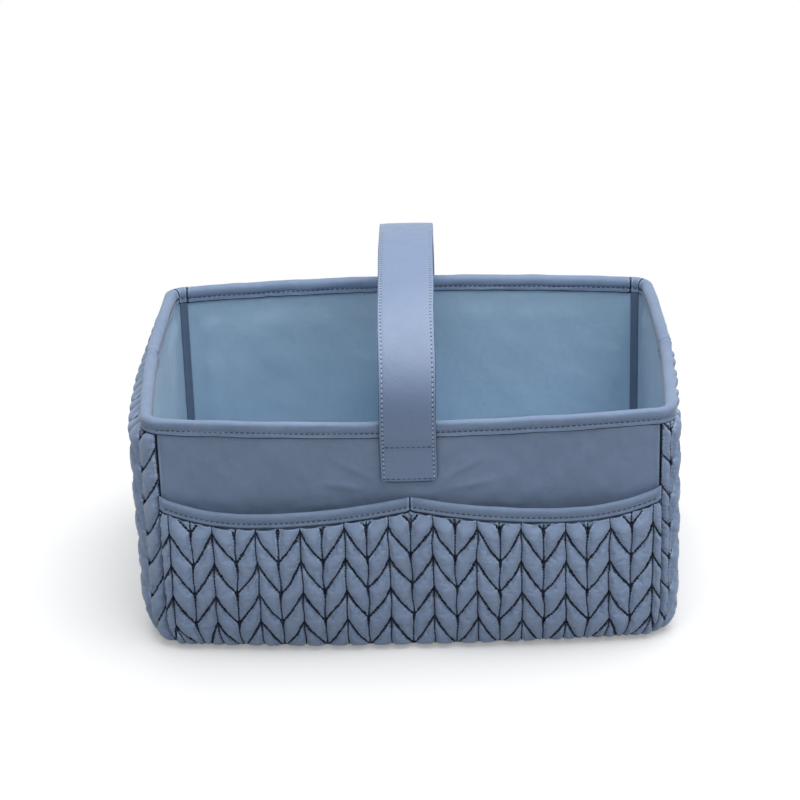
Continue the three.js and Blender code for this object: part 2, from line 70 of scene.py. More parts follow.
def wall(p, z, out):
    """A place on the walls. p runs round the body from the middle of the front: to the right it is positive."""
    p, z, out = (np.asarray(v, float) for v in np.broadcast_arrays(p, z, out))
    a = np.abs(p)
    back = a > SIDE_MIDDLE
    a = np.where(back, 2 * SIDE_MIDDLE - a, a)
    cx = BODY_X - tuck(*X_TUCK, z) - CORNER
    cy = BODY_Y - tuck(*Y_TUCK, z) - CORNER
    share = np.clip(a / FRONT_STEPS, 0, 1)
    turn = np.radians(90 * np.clip((a - FRONT_STEPS) / CORNER_RUN, 0, 1))
    along = np.clip((a - CORNER_END) / (SIDE_RUN / 2), 0, 1) - 1
    bulge = SIDE_BOW * ((1 - CREASE) * (1 - along**2) + CREASE * (1 - np.abs(along)))
    parts = [a <= FRONT_STEPS, a <= CORNER_END]
    x = np.select(parts, [share * cx, cx + (CORNER + out) * np.sin(turn)], cx + CORNER + bulge + out)
    y_front = -cy - CORNER - bow(z) * (1 - share**2) - out
    y = np.select(parts, [y_front, -cy - (CORNER + out) * np.cos(turn)], along * cy)
    return np.stack([np.where(p < 0, -x, x), np.where(back, -y, y), z], -1)


def turn_place(turn):
    """The place p of a corner's seam, this many degrees round from the front wall."""
    return FRONT_STEPS + CORNER_RUN * turn / 90


SEAM_P = turn_place(SEAM_TURN)
WAVES = 7


def wave(seed, low, high, *coords):
    """Smooth noise of about -1 to 1 from a few sine waves, with lengths of 1/high to 1/low millimetres."""
    rng = np.random.RandomState(seed)
    total = 0
    for _ in range(WAVES):
        pitch = np.exp(rng.uniform(math.log(low), math.log(high)))
        way = rng.normal(size=len(coords))
        way /= np.linalg.norm(way)
        phase = rng.uniform(0, 2 * math.pi)
        total = total + np.sin(2 * math.pi * pitch * sum(w * c for w, c in zip(way, coords)) + phase)
    return total / math.sqrt(WAVES)


def smooth(a, b, x):
    t = np.clip((x - a) / (b - a), 0, 1)
    return t * t * (3 - 2 * t)


def bell(x, width):
    return np.exp(-((x / width) ** 2))


def run_along(path):
    """How far along the path each of its points is."""
    return np.concatenate([[0], np.cumsum(np.linalg.norm(np.diff(path, axis=0), axis=1))])


def grid(u, v):
    return np.meshgrid(u, v, indexing="ij")


def tree_of(points, left_out=()):
    tree = kdtree.KDTree(len(points))
    for i, (x, z, *_) in enumerate(points):
        if i not in left_out:
            tree.insert((x, z, 0), i)
    tree.balance()
    return tree


# Meshes
HALF_TURN = Matrix.Rotation(math.pi, 4, "Z")
MIRROR = Matrix.Scale(-1, 4, (1, 0, 0))


def link(obj):
    bpy.context.scene.collection.objects.link(obj)
    return obj


def places(mesh):
    co = np.zeros(len(mesh.vertices) * 3)
    mesh.vertices.foreach_get("co", co)
    return co.reshape(-1, 3)


def new_object(name, verts, faces, seam=None, more=None):
    verts = np.asarray(verts, float).reshape(-1, 3)
    mesh = bpy.data.meshes.new(name)
    mesh.from_pydata((verts * MM).tolist(), [], [tuple(int(i) for i in f) for f in faces])
    for label, values in {"seam": seam, **(more or {})}.items():
        values = np.full(len(verts), NO_SEAM) if values is None else np.asarray(values, float).ravel()
        mesh.attributes.new(label, "FLOAT", "POINT").data.foreach_set("value", values.astype(np.float32))
    b = bmesh.new()
    b.from_mesh(mesh)
    bmesh.ops.recalc_face_normals(b, faces=b.faces)
    b.to_mesh(mesh)
    b.free()
    mesh.polygons.foreach_set("use_smooth", [True] * len(mesh.polygons))
    return link(bpy.data.objects.new(name, mesh))


def refine(obj):
    """One subdivision, applied."""
    mod = obj.modifiers.new("smooth", "SUBSURF")
    mod.levels = mod.render_levels = 1
    graph = bpy.context.evaluated_depsgraph_get()
    mesh = bpy.data.meshes.new_from_object(obj.evaluated_get(graph))
    obj.modifiers.clear()
    old, obj.data = obj.data, mesh
    bpy.data.meshes.remove(old)
    mesh.polygons.foreach_set("use_smooth", [True] * len(mesh.polygons))
    return obj


def slab(name, outer, inner, seam=None):
    """The closed body between two grids of the same size."""
    nu, nv = outer.shape[:2]
    n = nu * nv
    i = np.arange(nu - 1)[:, None] * nv + np.arange(nv - 1)[None]
    face = np.stack([i, i + nv, i + nv + 1, i + 1], -1).reshape(-1, 4)
    rim = [i * nv for i in range(nu)] + [(nu - 1) * nv + j for j in range(1, nv)]
    rim = np.array(rim + [i * nv + nv - 1 for i in range(nu - 2, -1, -1)] + list(range(nv - 2, 0, -1)))
    after = np.roll(rim, -1)
    faces = np.concatenate([face, face[:, ::-1] + n, np.stack([rim, after, after + n, rim + n], -1)])
    verts = np.concatenate([outer.reshape(-1, 3), inner.reshape(-1, 3)])
    return new_object(name, verts, faces, None if seam is None else np.tile(np.ravel(seam), 2))


def tube(name, rings, seam=None, more=None):
    """The body swept through closed section rings, with end caps."""
    n, m = rings.shape[:2]
    i, k = np.arange(n - 1)[:, None] * m, np.arange(m)
    after = (k + 1) % m
    faces = np.stack([i + k, i + after, i + m + after, i + m + k], -1).reshape(-1, 4).tolist()
    faces += [list(range(m)), list(range((n - 1) * m, n * m))]
    return new_object(name, rings.reshape(-1, 3), faces, seam, more)


def copied(obj, name, change=HALF_TURN):
    """A copy, turned half round about the body's upright axis, or mirrored left to right."""
    copy = obj.copy()
    copy.data = obj.data.copy()
    copy.name = copy.data.name = name
    copy.data.transform(change)
    if change is MIRROR:
        copy.data.flip_normals()
    return link(copy)


def pair(obj, name, sides=("front", "back")):
    """The piece and its copy, turned half round, each with its side."""
    return zip((obj, copied(obj, name)), sides)


# Materials
def linear(*rgb):
    return tuple((c / 255 / 12.92 if c <= 10 else ((c / 255 + 0.055) / 1.055) ** 2.4) for c in rgb) + (1.0,)


class Nodes:
    """Short words for building the nodes of a material or of the world."""

    def __init__(self, owner, kind="Material"):
        """owner is the world, or the name of a new material."""
        if kind == "Material":
            owner = self.mat = bpy.data.materials.new(owner)
        owner.use_nodes = True
        self.tree = owner.node_tree
        self.tree.nodes.clear()
        self.out = self.add("ShaderNodeOutput" + kind).inputs["Surface"]
        if kind == "Material":
            shader = self.add("ShaderNodeBsdfPrincipled")
            self.shader, self.sockets = shader.outputs[0], shader.inputs
            self.link(self.shader, self.out)
            self.coords = self.add("ShaderNodeTexCoord").outputs["Object"]

    def add(self, kind, **values):
        node = self.tree.nodes.new(kind)
        for key, value in values.items():
            setattr(node, key, value)
        return node

    def link(self, a, b):
        self.tree.links.new(a, b)

    def put(self, socket, value):
        if isinstance(value, bpy.types.NodeSocket):
            self.link(value, socket)
        else:
            socket.default_value = value

    def set(self, **values):
        """Sets the shader's sockets: Base_Color=..., and so on."""
        for key, value in values.items():
            self.put(self.sockets[key.replace("_", " ")], value)

    def math(self, op, a, b=0.0, c=0.0):
        node = self.add("ShaderNodeMath", operation=op)
        for socket, value in zip(node.inputs, (a, b, c)):
            self.put(socket, value)
        return node.outputs[0]

    def times(self, a, b):
        return self.math("MULTIPLY", a, b)

    def noise(self, scale, detail=3.0, rough=0.55):
        node = self.add("ShaderNodeTexNoise")
        for key, value in {"Scale": scale, "Detail": detail, "Roughness": rough, "Vector": self.coords}.items():
            self.put(node.inputs[key], value)
        return node.outputs[0]

    def ramp(self, value, low, high, to_low=0.0, to_high=1.0, smoothly=False):
        node = self.add("ShaderNodeMapRange", interpolation_type="SMOOTHSTEP" if smoothly else "LINEAR")
        sockets = {"Value": value, "From Min": low, "From Max": high, "To Min": to_low, "To Max": to_high}
        for key, v in sockets.items():
            self.put(node.inputs[key], v)
        return node.outputs[0]

    def mix(self, share, a, b):
        node = self.add("ShaderNodeMix", data_type="RGBA", blend_type="MIX")
        for i, value in ((0, share), (6, a), (7, b)):
            self.put(node.inputs[i], value)
        return node.outputs[2]

    def bump(self, height, distance, strength=1.0, normal=None):
        node = self.add("ShaderNodeBump")
        for key, value in {"Height": height, "Distance": distance, "Strength": strength}.items():
            self.put(node.inputs[key], value)
        if normal is not None:
            self.link(normal, node.inputs["Normal"])
        return node.outputs[0]

    def attribute(self, name):
        return self.add("ShaderNodeAttribute", attribute_name=name).outputs["Fac"]

    def threads(self, pitch):
        """A fine plain weave: the product of two sets of threads, that works on upright and level faces alike."""
        sep = self.add("ShaderNodeSeparateXYZ")
        self.link(self.coords, sep.inputs[0])
        x, y, z = sep.outputs
        turns = 2 * math.pi / pitch
        across = self.times(self.math("ADD", x, y), turns)
        up = self.times(self.math("ADD", z, self.times(self.math("SUBTRACT", x, y), 0.5)), turns)
        return self.times(self.math("SINE", across), self.math("SINE", up))

    def seen(self):
        """1 for what the camera sees, also in gloss and through glass."""
        rays = self.add("ShaderNodeLightPath").outputs
        share = self.math("MAXIMUM", rays["Is Camera Ray"], rays["Is Glossy Ray"])
        return self.math("MAXIMUM", share, rays["Is Transmission Ray"])

    def show(self, share, a, b):
        """Shows shader a, and b by its share."""
        node = self.add("ShaderNodeMixShader")
        for socket, value in zip(node.inputs, (share, a, b)):
            self.link(value, socket)
        self.link(node.outputs[0], self.out)


NAVY = (30, 42, 76)
SERRATION, GATHER, STITCH = 2.3, 2.9, 2.7  # what repeats along a stitched line, each this often
WEAVE_RELIEF, GATHER_RELIEF = 0.00004, 0.0002  # in metres, like every relief of a material


def cloth(name, colour, light, rough, sheen=0.25, weave=0.00055, wrinkle=0.0004, gather_shade=0.0, shine=0.4, width=0.56,
          depth=0.3):
    """Woven cloth. The attributes seam and run, in millimetres, are the way to the nearest seam and along it.

    width is half the width of a seam's dark line, which is painted shade in its crease, and depth the painted shade
    beside it, where the cloth also gets a painted highlight. The gathers argument is for quilted cloth, the strength
    of the painted shade in the short gathered folds at its stitched lines, which also get a relief.
    """
    n = Nodes(name)
    seam, run = n.attribute("seam"), n.attribute("run")
    dark, light = linear(*NAVY), linear(*light)

    def ripple(length, noise=None, amount=0.0):
        """A sine wave along the seam, pushed to and fro by a noise."""
        shift = n.times(n.noise(noise, 1), amount) if noise else 0.0
        return n.math("SINE", n.math("MULTIPLY_ADD", run, 2 * math.pi / length, shift))

    # The seam's dark line: painted shade in its crease, with ragged sides, serrated on quilted cloth
    ragged = n.math("ADD", seam, n.ramp(n.noise(900, 1), 0.3, 0.7, -0.16, 0.16))
    if gather_shade:
        ragged = n.math("MULTIPLY_ADD", ripple(SERRATION, 90, 5.0), 0.3, ragged)
    line = n.ramp(ragged, 0.36 * width, width, 1.0, 0.0, True)
    # Painted shade beside the seam, and a painted highlight on the cloth just beside it
    shade = n.ramp(seam, 0.3, 1.0, depth, 0.0, True)
    edge = n.times(n.ramp(seam, 0.7, 1.0), n.ramp(seam, 1.2, 2.1, 1.0, 0.0))
    broad = n.ramp(n.noise(9, 2), 0.35, 0.65)
    base = n.mix(broad, linear(*(c - 4 for c in colour)), linear(*(c + 4 for c in colour)))
    base = n.mix(n.times(n.ramp(n.noise(160, 4), 0.3, 0.7), 0.16), base, light)
    base = n.mix(n.times(n.ramp(seam, 2.5, 6.0, 0.0, 1.0, True), 0.06), base, light)
    # The painted highlight beside the seam, in patches
    base = n.mix(n.times(edge, n.ramp(n.noise(50, 2), 0.4, 0.62, 0.35, 0.95)), base, light)
    base = n.mix(shade, base, dark)
    normal = n.bump(n.noise(70, 4, 0.5), wrinkle)
    if gather_shade:
        # Short gathered folds at the stitched lines: a relief, with painted shade in them
        near = n.ramp(seam, 0.7, 1.9, 1.0, 0.0, True)
        patches = n.ramp(n.noise(110, 1), 0.46, 0.62)
        gather = n.times(ripple(GATHER, 240, 6.0), n.times(near, patches))
        base = n.mix(n.ramp(gather, 0.25, 0.9, 0.0, gather_shade), base, dark)
        normal = n.bump(gather, GATHER_RELIEF, 1.0, normal)
    # Last the seam's dark line of painted crease shade
    base = n.mix(line, base, linear(*(c * 0.56 for c in NAVY)))
    if gather_shade:
        stitch = n.times(n.ramp(ripple(STITCH), 0.1, 0.5), n.ramp(seam, 0.2, 0.36, 1.0, 0.0))
        base = n.mix(n.times(stitch, 0.3), base, linear(*colour))
    open_face = n.ramp(seam, 0.2, 1.1, 0.12, 1.0)
    n.set(
        Base_Color=base, Roughness=n.ramp(n.noise(45, 3), 0.3, 0.7, *rough), Sheen_Weight=n.times(open_face, sheen),
        Specular_IOR_Level=n.times(open_face, shine), Sheen_Roughness=0.45,
        Normal=n.bump(n.threads(weave), WEAVE_RELIEF, 0.7, normal),
    )
    return n.mat


def hide(name, colour, dark, light):
    """Smooth strap hide with a fine grain, painted edges where the attribute edge is 1, and painted shade along its
    stitched grooves, where the attribute seam is small.
    """
    n = Nodes(name)
    seam, dark = n.attribute("seam"), linear(*dark)
    edge = n.ramp(n.attribute("edge"), 0.35, 0.75, 0.0, 1.0, True)
    grain = n.add("ShaderNodeTexVoronoi", feature="SMOOTH_F1")
    n.put(grain.inputs["Scale"], 950)
    n.put(grain.inputs["Vector"], n.coords)
    cells = grain.outputs["Distance"]
    broad = n.ramp(n.noise(14, 3), 0.3, 0.7)
    base = n.mix(broad, linear(*(c - 3 for c in colour)), linear(*(c + 4 for c in colour)))
    base = n.mix(n.ramp(cells, 0.2, 0.6, 0.0, 0.16), base, linear(*light))
    # Painted shade along the stitched grooves
    base = n.mix(n.ramp(seam, 0.2, 1.2, 0.55, 0.0, True), base, dark)
    n.set(
        Base_Color=n.mix(edge, base, dark), Roughness=n.ramp(n.noise(120, 3), 0.3, 0.7, 0.4, 0.5),
        Specular_IOR_Level=0.58, Normal=n.bump(cells, 0.00012, 0.9, n.bump(n.noise(60, 3), 0.00025)),
    )
    return n.mat


def plain(name, a, b, scale, rough, bump, sheen=0.0):
    """A two-tone surface with a noise relief: foam, board, thread and tape."""
    n = Nodes(name)
    n.set(
        Base_Color=n.mix(n.ramp(n.noise(scale, 4), 0.35, 0.65), linear(*a), linear(*b)),
        Roughness=n.ramp(n.noise(scale * 0.4, 2), 0.3, 0.7, rough - 0.06, rough + 0.06),
        Sheen_Weight=sheen, Normal=n.bump(n.noise(scale, 4), bump),
    )
    return n.mat


quilt_cloth = cloth(
    "quilt_cloth", (116, 135, 165), (156, 174, 201), (0.55, 0.7), 0.3, gather_shade=0.42, width=0.84, depth=0.42
)
side_cloth = cloth(
    "side_quilt_cloth", (117, 136, 166), (154, 172, 199), (0.55, 0.7), 0.3, gather_shade=0.36, width=0.66, depth=0.36
)
band_cloth = cloth("band_cloth", (103, 122, 150), (138, 156, 182), (0.5, 0.62), 0.2, wrinkle=0.0006)
binding_cloth = cloth("binding_cloth", (104, 123, 151), (144, 161, 185), (0.6, 0.72), 0.3, shine=0.22)
lining_cloth = cloth("lining_cloth", (153, 180, 202), (166, 192, 212), (0.42, 0.55), 0.1, wrinkle=0.0009)
tape_cloth = cloth("tape_cloth", (84, 100, 124), (106, 122, 146), (0.6, 0.75), weave=0.0009)
strap_hide = hide("strap_hide", (97, 116, 146), (44, 58, 88), (122, 140, 168))
thread = plain("thread", (34, 46, 76), (48, 60, 92), 2500, 0.55, 0.00005, 0.2)
strap_thread = plain("strap_thread", (140, 158, 184), (168, 184, 205), 2500, 0.5, 0.00005, 0.2)
hole_shade = plain("hole_shade", (24, 32, 54), (36, 46, 72), 2000, 0.8, 0.00003)
foam_look = plain("foam", (214, 214, 208), (228, 228, 224), 900, 0.9, 0.0002)
board_look = plain("board", (172, 166, 154), (196, 190, 178), 260, 0.85, 0.0001)
hook_look = plain("grip_tape", (70, 84, 112), (110, 126, 154), 1400, 0.9, 0.0006, 0.4)


def dress(obj, material, slot, *nodes, body="caddy"):
    obj.data.materials.clear()
    obj.data.materials.append(material)
    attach(obj, body)
    if nodes:
        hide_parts(*nodes)
    return obj


# Quilted panels: laid out flat, inflated there by cloth simulation between their stitched seams, then put on
# the wall. In the flat layout s counts columns across, each half a braid wide, and z is the height.
PITCH, FRONT_DROP, SIDE_DROP = 24.6, 26.6, 24.0
EDGE_ROOM = 0.7  # the leaves' seams end this far from the panel's lower and upper edge
JOIN = 0.75  # this near its peak, a leaf's seam runs into the upright one
VALLEY_SHADE = ((1.0, 1.45), (2.7, 1.05), (4.4, 0.55))  # how far below a valley, and how dark
VALLEY_REACH = 1.45
PUFF, PUFF_POWER = 5.6, 2.4  # a leaf is full this far from its seams, and how round its sides are
UNEVEN = 0.10  # by which the leaves differ before the simulation


def ramp_up(s):
    return np.abs(np.mod(np.asarray(s, float) + 2, 4) - 2) / 2


def chevron(rise):
    """The height of a leaf's edge: steep by the braid's peaks, flatter towards its valleys."""
    fall = 1 - np.clip(rise, 0, 1)
    return 1 - 0.55 * np.sqrt(fall) - 0.45 * fall


def braid_layout(s_low, s_high, step, start, drop, droop, z_high, spacing):
    """Points and edges of the seams, the points in the leaves between, the border, and the braid's valleys."""
    points, edges, index, runs = [], [], {}, []

    def add(x, z, run, way):
        key = (round(float(x), 3), round(float(z), 3))
        if key not in index:
            index[key] = len(points)
            points.append(key)
            runs.append((run, way[0], way[1]))
        return index[key]

    def line(path):
        path = np.asarray(path, float)
        way = np.gradient(path, axis=0)
        way /= np.maximum(np.linalg.norm(way, axis=1), 1e-6)[:, None]
        ids = [add(*at, r, w) for at, r, w in zip(path, run_along(path), way)]
        edges.extend((a, b) for a, b in zip(ids, ids[1:]) if a != b)
        return ids

    top = max(z_high(s) for s in np.arange(s_low, s_high + 1))
    rows = range(math.floor((PANEL_LOW - start - drop) / PITCH) - 1, math.ceil((top - start + 8) / PITCH) + 2)
    stops = [float(s) for s in range(s_low, s_high + 1) if s % 2 == 0 or s in (s_low, s_high)]
    crossings = {s: set() for s in stops}
    inside = []
    # The leaves' sloping seams, with more points in the leaves by their ends
    for a, b in zip(stops, stops[1:]):
        count = max(4, int(round((b - a) * step * 2.0 / spacing)))
        low, high = (math.sqrt(1 - float(ramp_up(v))) for v in (a, b))
        share = np.linspace(low, high, count + 1) ** 2
        s = a + (b - a) * (share - low**2) / (high**2 - low**2)
        peak = a if low < high else b
        away = np.abs(s - peak) * step
        joins = (away < JOIN) & (min(low, high) < 0.01)
        s = np.where(joins, peak, s)
        kept = ~joins | ((away > 0.25) & (away < 0.45))
        for row in rows:
            z = start + PITCH * row + drop * chevron(1 - share) - droop(s) - 0.6 * (share > 0.999)
            good = [k and PANEL_LOW + EDGE_ROOM < w < z_high(u) - EDGE_ROOM for k, u, w in zip(kept, s, z)]
            for end, from_end in ((peak, away), (a + b - peak, (b - a) * step - away)):
                ends = zip(s, z, from_end, good)
                inside += [((u + end) / 2 * step, w) for u, w, d, ok in ends if ok and JOIN < d < 3.2]
            seam = [(u, w) for u, w, ok in zip(s, z, good) if ok]
            if len(seam) > 1:
                line([(u * step, w) for u, w in seam])
            for u, w in seam:
                if u in crossings:
                    crossings[u].add(round(float(w), 3))
    # The upright seams, then the lower, upper and side edges
    for s in stops:
        zs = sorted(crossings[s] | {round(PANEL_LOW, 3), round(float(z_high(s)), 3)})
        run = []
        for a, b in zip(zs, zs[1:]):
            count = max(1, int(round((b - a) / spacing)))
            run += [(s * step, a + (b - a) * i / count) for i in range(count)]
        line(run + [(s * step, zs[-1])])
    per = max(2, int(round(2 * step / spacing)))
    xs = [a + (b - a) * i / per for a, b in zip(stops, stops[1:]) for i in range(per)] + [stops[-1]]
    border = [line([(s * step, level(s)) for s in xs]) for level in (lambda s: PANEL_LOW, z_high)]
    for s in (stops[0], stops[-1]):
        zs = sorted(k[1] for k in index if abs(k[0] - round(s * step, 3)) < 1e-6)
        border.append([index[(round(s * step, 3), z)] for z in zs])
    # The rest of the leaves, filled with points in staggered rows
    tree, row, z = tree_of(points), 0, PANEL_LOW + spacing
    while z < top:
        x = s_low * step + spacing * (0.6 + 0.5 * (row % 2))
        while x < s_high * step - 0.5 * spacing:
            if z < z_high(x / step) - 0.6 * spacing and tree.find((x, z, 0))[2] > 0.74 * spacing:
                inside.append((x, z))
            x += spacing
        z += spacing * 0.866
        row += 1
    valleys = [
        (s * step, start + PITCH * row - float(droop(s)) - below, weight)
        for s in stops for row in rows for below, weight in VALLEY_SHADE if float(ramp_up(s)) < 0.01
    ]
    return points, edges, inside, border, valleys, np.array(runs)


def quilt(name, s_low, s_high, step, start, drop, droop, z_high, height, place, spacing, seed, full_top=False):
    """Makes one quilted panel. place(s, z, out) puts a flat place on the wall, out from the panel's own inner face.

    The braid starts at the height start, and hangs by droop(s). z_high(s) is the panel's upper edge, where full_top
    leaves the pads full instead of closing them.
    """
    points, edges, inside, border, valleys, runs = braid_layout(
        s_low, s_high, step, start, drop, droop, z_high, spacing
    )
    flat = [Vector(p) for p in points + inside]
    co, _, faces, origin, _, _ = delaunay_2d_cdt(flat, edges, [], 1, 1e-4)
    co = np.array([(p.x, p.y) for p in co])
    pinned = np.array([any(j < len(points) for j in o) for o in origin])
    loose_top = {i for i in border[1] if full_top and abs(math.remainder(points[i][0], 2 * step)) > 0.3}
    seam_tree = tree_of(points, loose_top)
    found = [seam_tree.find((x, z, 0)) for x, z in co]
    to_seam = np.array([f[2] for f in found])
    nearest = np.array([f[1] for f in found])
    offset = co - np.array(points)[nearest]
    along = runs[nearest, 0] + (offset * runs[nearest, 1:]).sum(1)
    valley_tree = tree_of(valleys)
    gap_shade = np.array([
        max([valleys[i][2] * bell(d, VALLEY_REACH) for _, i, d in valley_tree.find_range((x, z, 0), 4.0)], default=0.0)
        for x, z in co
    ])
    # A sloping line is bolder, on the leaf below it, than the upright ones: painted shadow of the leaf above
    sloping = smooth(0.12, 0.4, np.abs(runs[nearest, 1]))
    gap_shade += 0.34 * sloping * (offset[:, 1] < 0) * bell(to_seam, 1.3) - 0.2 * (1 - sloping)
    edge_room = np.minimum(1, to_seam / PUFF)
    plump = (1 - (1 - edge_room) ** PUFF_POWER) ** (1 / PUFF_POWER)
    lift = np.where(pinned, 0, height * plump)
    rng = np.random.RandomState(seed)
    lift += np.where(pinned, 0, UNEVEN * rng.uniform(-1, 1, len(lift)))
    on_top = np.array([any(j in loose_top for j in o) for o in origin])
    lift = np.where(on_top, height * plump, lift)
    x, z = co[:, 0], co[:, 1]
    x, lift, z = inflate(x, lift, z, faces, pinned & ~on_top, height)
    x, z = np.where(on_top, co[:, 0], x), np.where(on_top, co[:, 1], z)
    top = np.array([float(z_high(v)) for v in x / step])
    closing = 0.55 + 0.45 * smooth(0, 13, top - z) if full_top else smooth(-0.2, 1.7, top - z)
    lift = lift * closing * smooth(-0.6, 2.4, z - PANEL_LOW)
    sway_x = 0.55 * wave(seed + 50, 0.012, 0.05, x, z)
    sway_z = 0.7 * wave(seed + 60, 0.012, 0.05, x, z)
    to_side = np.minimum(x - s_low * step, s_high * step - x)
    calm = smooth(0, 14, np.minimum(to_side, np.minimum(top - z, z - PANEL_LOW)))
    outer = place((x + sway_x * calm) / step, z + sway_z * calm, lift)
    # The inner side: a few points, inside the same border
    loop_ids = sorted({i for run in border for i in run})
    local = {i: k for k, i in enumerate(loop_ids)}
    own = {i: k for k, o in enumerate(origin) for i in o}
    border_edges = [(local[a], local[b]) for run in border for a, b in zip(run, run[1:]) if a != b]
    flat = [Vector(p) for p in [points[i] for i in loop_ids] + inside[8::17]]
    co_in, _, faces_in, origin_in, _, _ = delaunay_2d_cdt(flat, border_edges, [], 1, 1e-4)
    remap, extra = {}, []
    for k, o in enumerate(origin_in):
        on_border = [i for i in o if i < len(loop_ids)]
        if on_border:
            remap[k] = own[loop_ids[on_border[0]]]
        else:
            remap[k] = len(outer) + len(extra)
            extra.append((co_in[k].x, co_in[k].y))
    extra = np.array(extra)
    inner = place(extra[:, 0] / step, extra[:, 1], None)
    faces = faces + [tuple(remap[i] for i in reversed(f)) for f in faces_in]
    seam = np.concatenate([to_seam - gap_shade, np.full(len(extra), NO_SEAM)])
    run = np.concatenate([along, np.zeros(len(extra))])
    return refine(new_object(name, np.concatenate([outer, inner]), faces, seam, {"run": run}))


SIM_SCALE, SIM_FRAMES = 0.02, 16  # a millimetre of the panel is this long in the simulation
SIDEWAYS, UPWARDS = 1.4, 1.6  # how far a point may move along the panel, and above its leaf's height


def inflate(x, lift, z, faces, pinned, height):
    """Cloth simulation of the flat panel: every seam is held, and pressure fills the slightly larger leaves."""
    mesh = bpy.data.meshes.new("flat_quilt")
    mesh.from_pydata((np.stack([x, -lift, z], 1) * SIM_SCALE).tolist(), [], faces)
    if mesh.polygons[0].normal.y > 0:
        mesh.flip_normals()
    obj = link(bpy.data.objects.new("flat_quilt", mesh))
    group = obj.vertex_groups.new(name="seams")
    group.add([int(i) for i in np.nonzero(pinned)[0]], 1.0, "REPLACE")
    mod = obj.modifiers.new("cloth", "CLOTH")
    st = mod.settings
    st.quality, st.mass, st.air_damping = 5, 0.02, 1.0
    st.tension_stiffness = st.compression_stiffness = 30
    st.shear_stiffness, st.bending_stiffness = 15, 0.15
    st.tension_damping = st.compression_damping = st.shear_damping = 5
    st.vertex_group_mass, st.pin_stiffness = "seams", 1.0
    st.use_pressure, st.uniform_pressure_force = True, 60
    st.shrink_min = st.shrink_max = -0.075
    st.effector_weights.gravity = 0
    mod.collision_settings.use_collision = False
    scene = bpy.context.scene
    for number in range(1, SIM_FRAMES + 1):
        scene.frame_set(number)
    done = obj.evaluated_get(bpy.context.evaluated_depsgraph_get())
    new_x, new_y, new_z = places(done.data).T / SIM_SCALE
    scene.frame_set(1)
    bpy.data.objects.remove(obj)
    bpy.data.meshes.remove(mesh)
    x, z = x + np.clip(new_x - x, -SIDEWAYS, SIDEWAYS), z + np.clip(new_z - z, -SIDEWAYS, SIDEWAYS)
    return x, np.clip(-new_y, 0, height + UPWARDS), z


FRONT_STEP = (BODY_X - CORNER) / FRONT_STEPS
SIDE_STEPS = 31
SIDE_STEP = 248.0 / SIDE_STEPS
POCKET_END = FRONT_STEPS + 1
# The pocket: its gap at the foot and above, the height between, its belly, and the heights of its mouth
POCKET_FOOT, POCKET_GAP, POCKET_RISE, POCKET_BELLY = 1.4, 2.5, 60.0, 9.0
MOUTH_MIDDLE, MOUTH_DIP, MOUTH_END, DIP_AT = 121.0, 111.5, 120.0, 0.68


def front_place(s, z=RIM):
    """Where a flat place lies on the front. By the base, the columns near the middle keep upright."""
    s = np.asarray(s, float)
    share = np.clip(np.abs(s) / FRONT_STEPS, 0, 1)
    narrowing = tuck(*X_TUCK, np.asarray(z, float))
    half = BODY_X - CORNER
    share = (share * half - narrowing * share**4) / (half - narrowing)
    over = np.clip(np.abs(s) - FRONT_STEPS, 0, 1)
    return np.sign(s) * (share * FRONT_STEPS + over * (SEAM_P - FRONT_STEPS))


def side_place(s):
    steps = SIDE_RUN + 6  # with three over each corner
    s = (np.asarray(s, float) + 1) * steps / SIDE_STEPS
    near = np.minimum(s, steps - s)
    p = np.where(near < 3, SEAM_P + (CORNER_END - SEAM_P) * near / 3, CORNER_END + near - 3)
    return np.where(s > steps / 2, 2 * SIDE_MIDDLE - p, p)


def across_pocket(s):
    return np.clip(np.abs(s) / POCKET_END, 0, 1)


def pocket_inner(s, z):
    rise = np.clip(z / POCKET_RISE, 0, 1)
    base = POCKET_FOOT + (POCKET_GAP - POCKET_FOOT) * rise
    belly = np.clip(np.sin(math.pi * across_pocket(s)), 0, 1) ** 0.7
    return base + POCKET_BELLY * belly * np.sin(rise * math.pi / 2)


def pocket_mouth(s):
    a = across_pocket(s)
    low = MOUTH_MIDDLE + (MOUTH_DIP - MOUTH_MIDDLE) * (1 - np.clip(1 - a / DIP_AT, 0, 1) ** 1.5)
    high = MOUTH_DIP + (MOUTH_END - MOUTH_DIP) * np.clip((a - DIP_AT) / (1 - DIP_AT), 0, 1) ** 2
    return np.where(a < DIP_AT, low, high)


def seam_level(z, z_top, s_edge):
    """How far the stitched seams stand off the panel's inner face: less where the panel ends."""
    level = 0.35 + 0.75 * smooth(0.0, 3.5, s_edge)
    level = np.minimum(level, 0.5 + 0.6 * smooth(0, 4, z - PANEL_LOW))
    return np.minimum(level, 0.75 + 0.35 * smooth(0, 5, z_top - z))


def pocket_place(s, z, lift):
    """On the pocket: lifted off its seams, or on its inner side where lift is None."""
    level = 0.1
    if lift is not None:
        level = seam_level(z, pocket_mouth(s) - 9.2, (POCKET_END - np.abs(s)) * FRONT_STEP) + lift
    return wall(front_place(s, z), z, pocket_inner(s, z) + level)


def side_quilt_place(s, z, lift):
    level = 0.1
    if lift is not None:
        edge = np.minimum(s + 1, SIDE_STEPS - 1 - s) * SIDE_STEP
        level = seam_level(z, BINDING_LOW + 1.2, edge) + lift
    return wall(side_place(s), z, SKIN_IN + level)


def pocket_droop(s):
    s = np.asarray(s, float)
    return np.where(s > 0, 7.4 * smooth(0, 18, s), 6.5 * np.clip(-s / 20, 0, 1.1) ** 3)


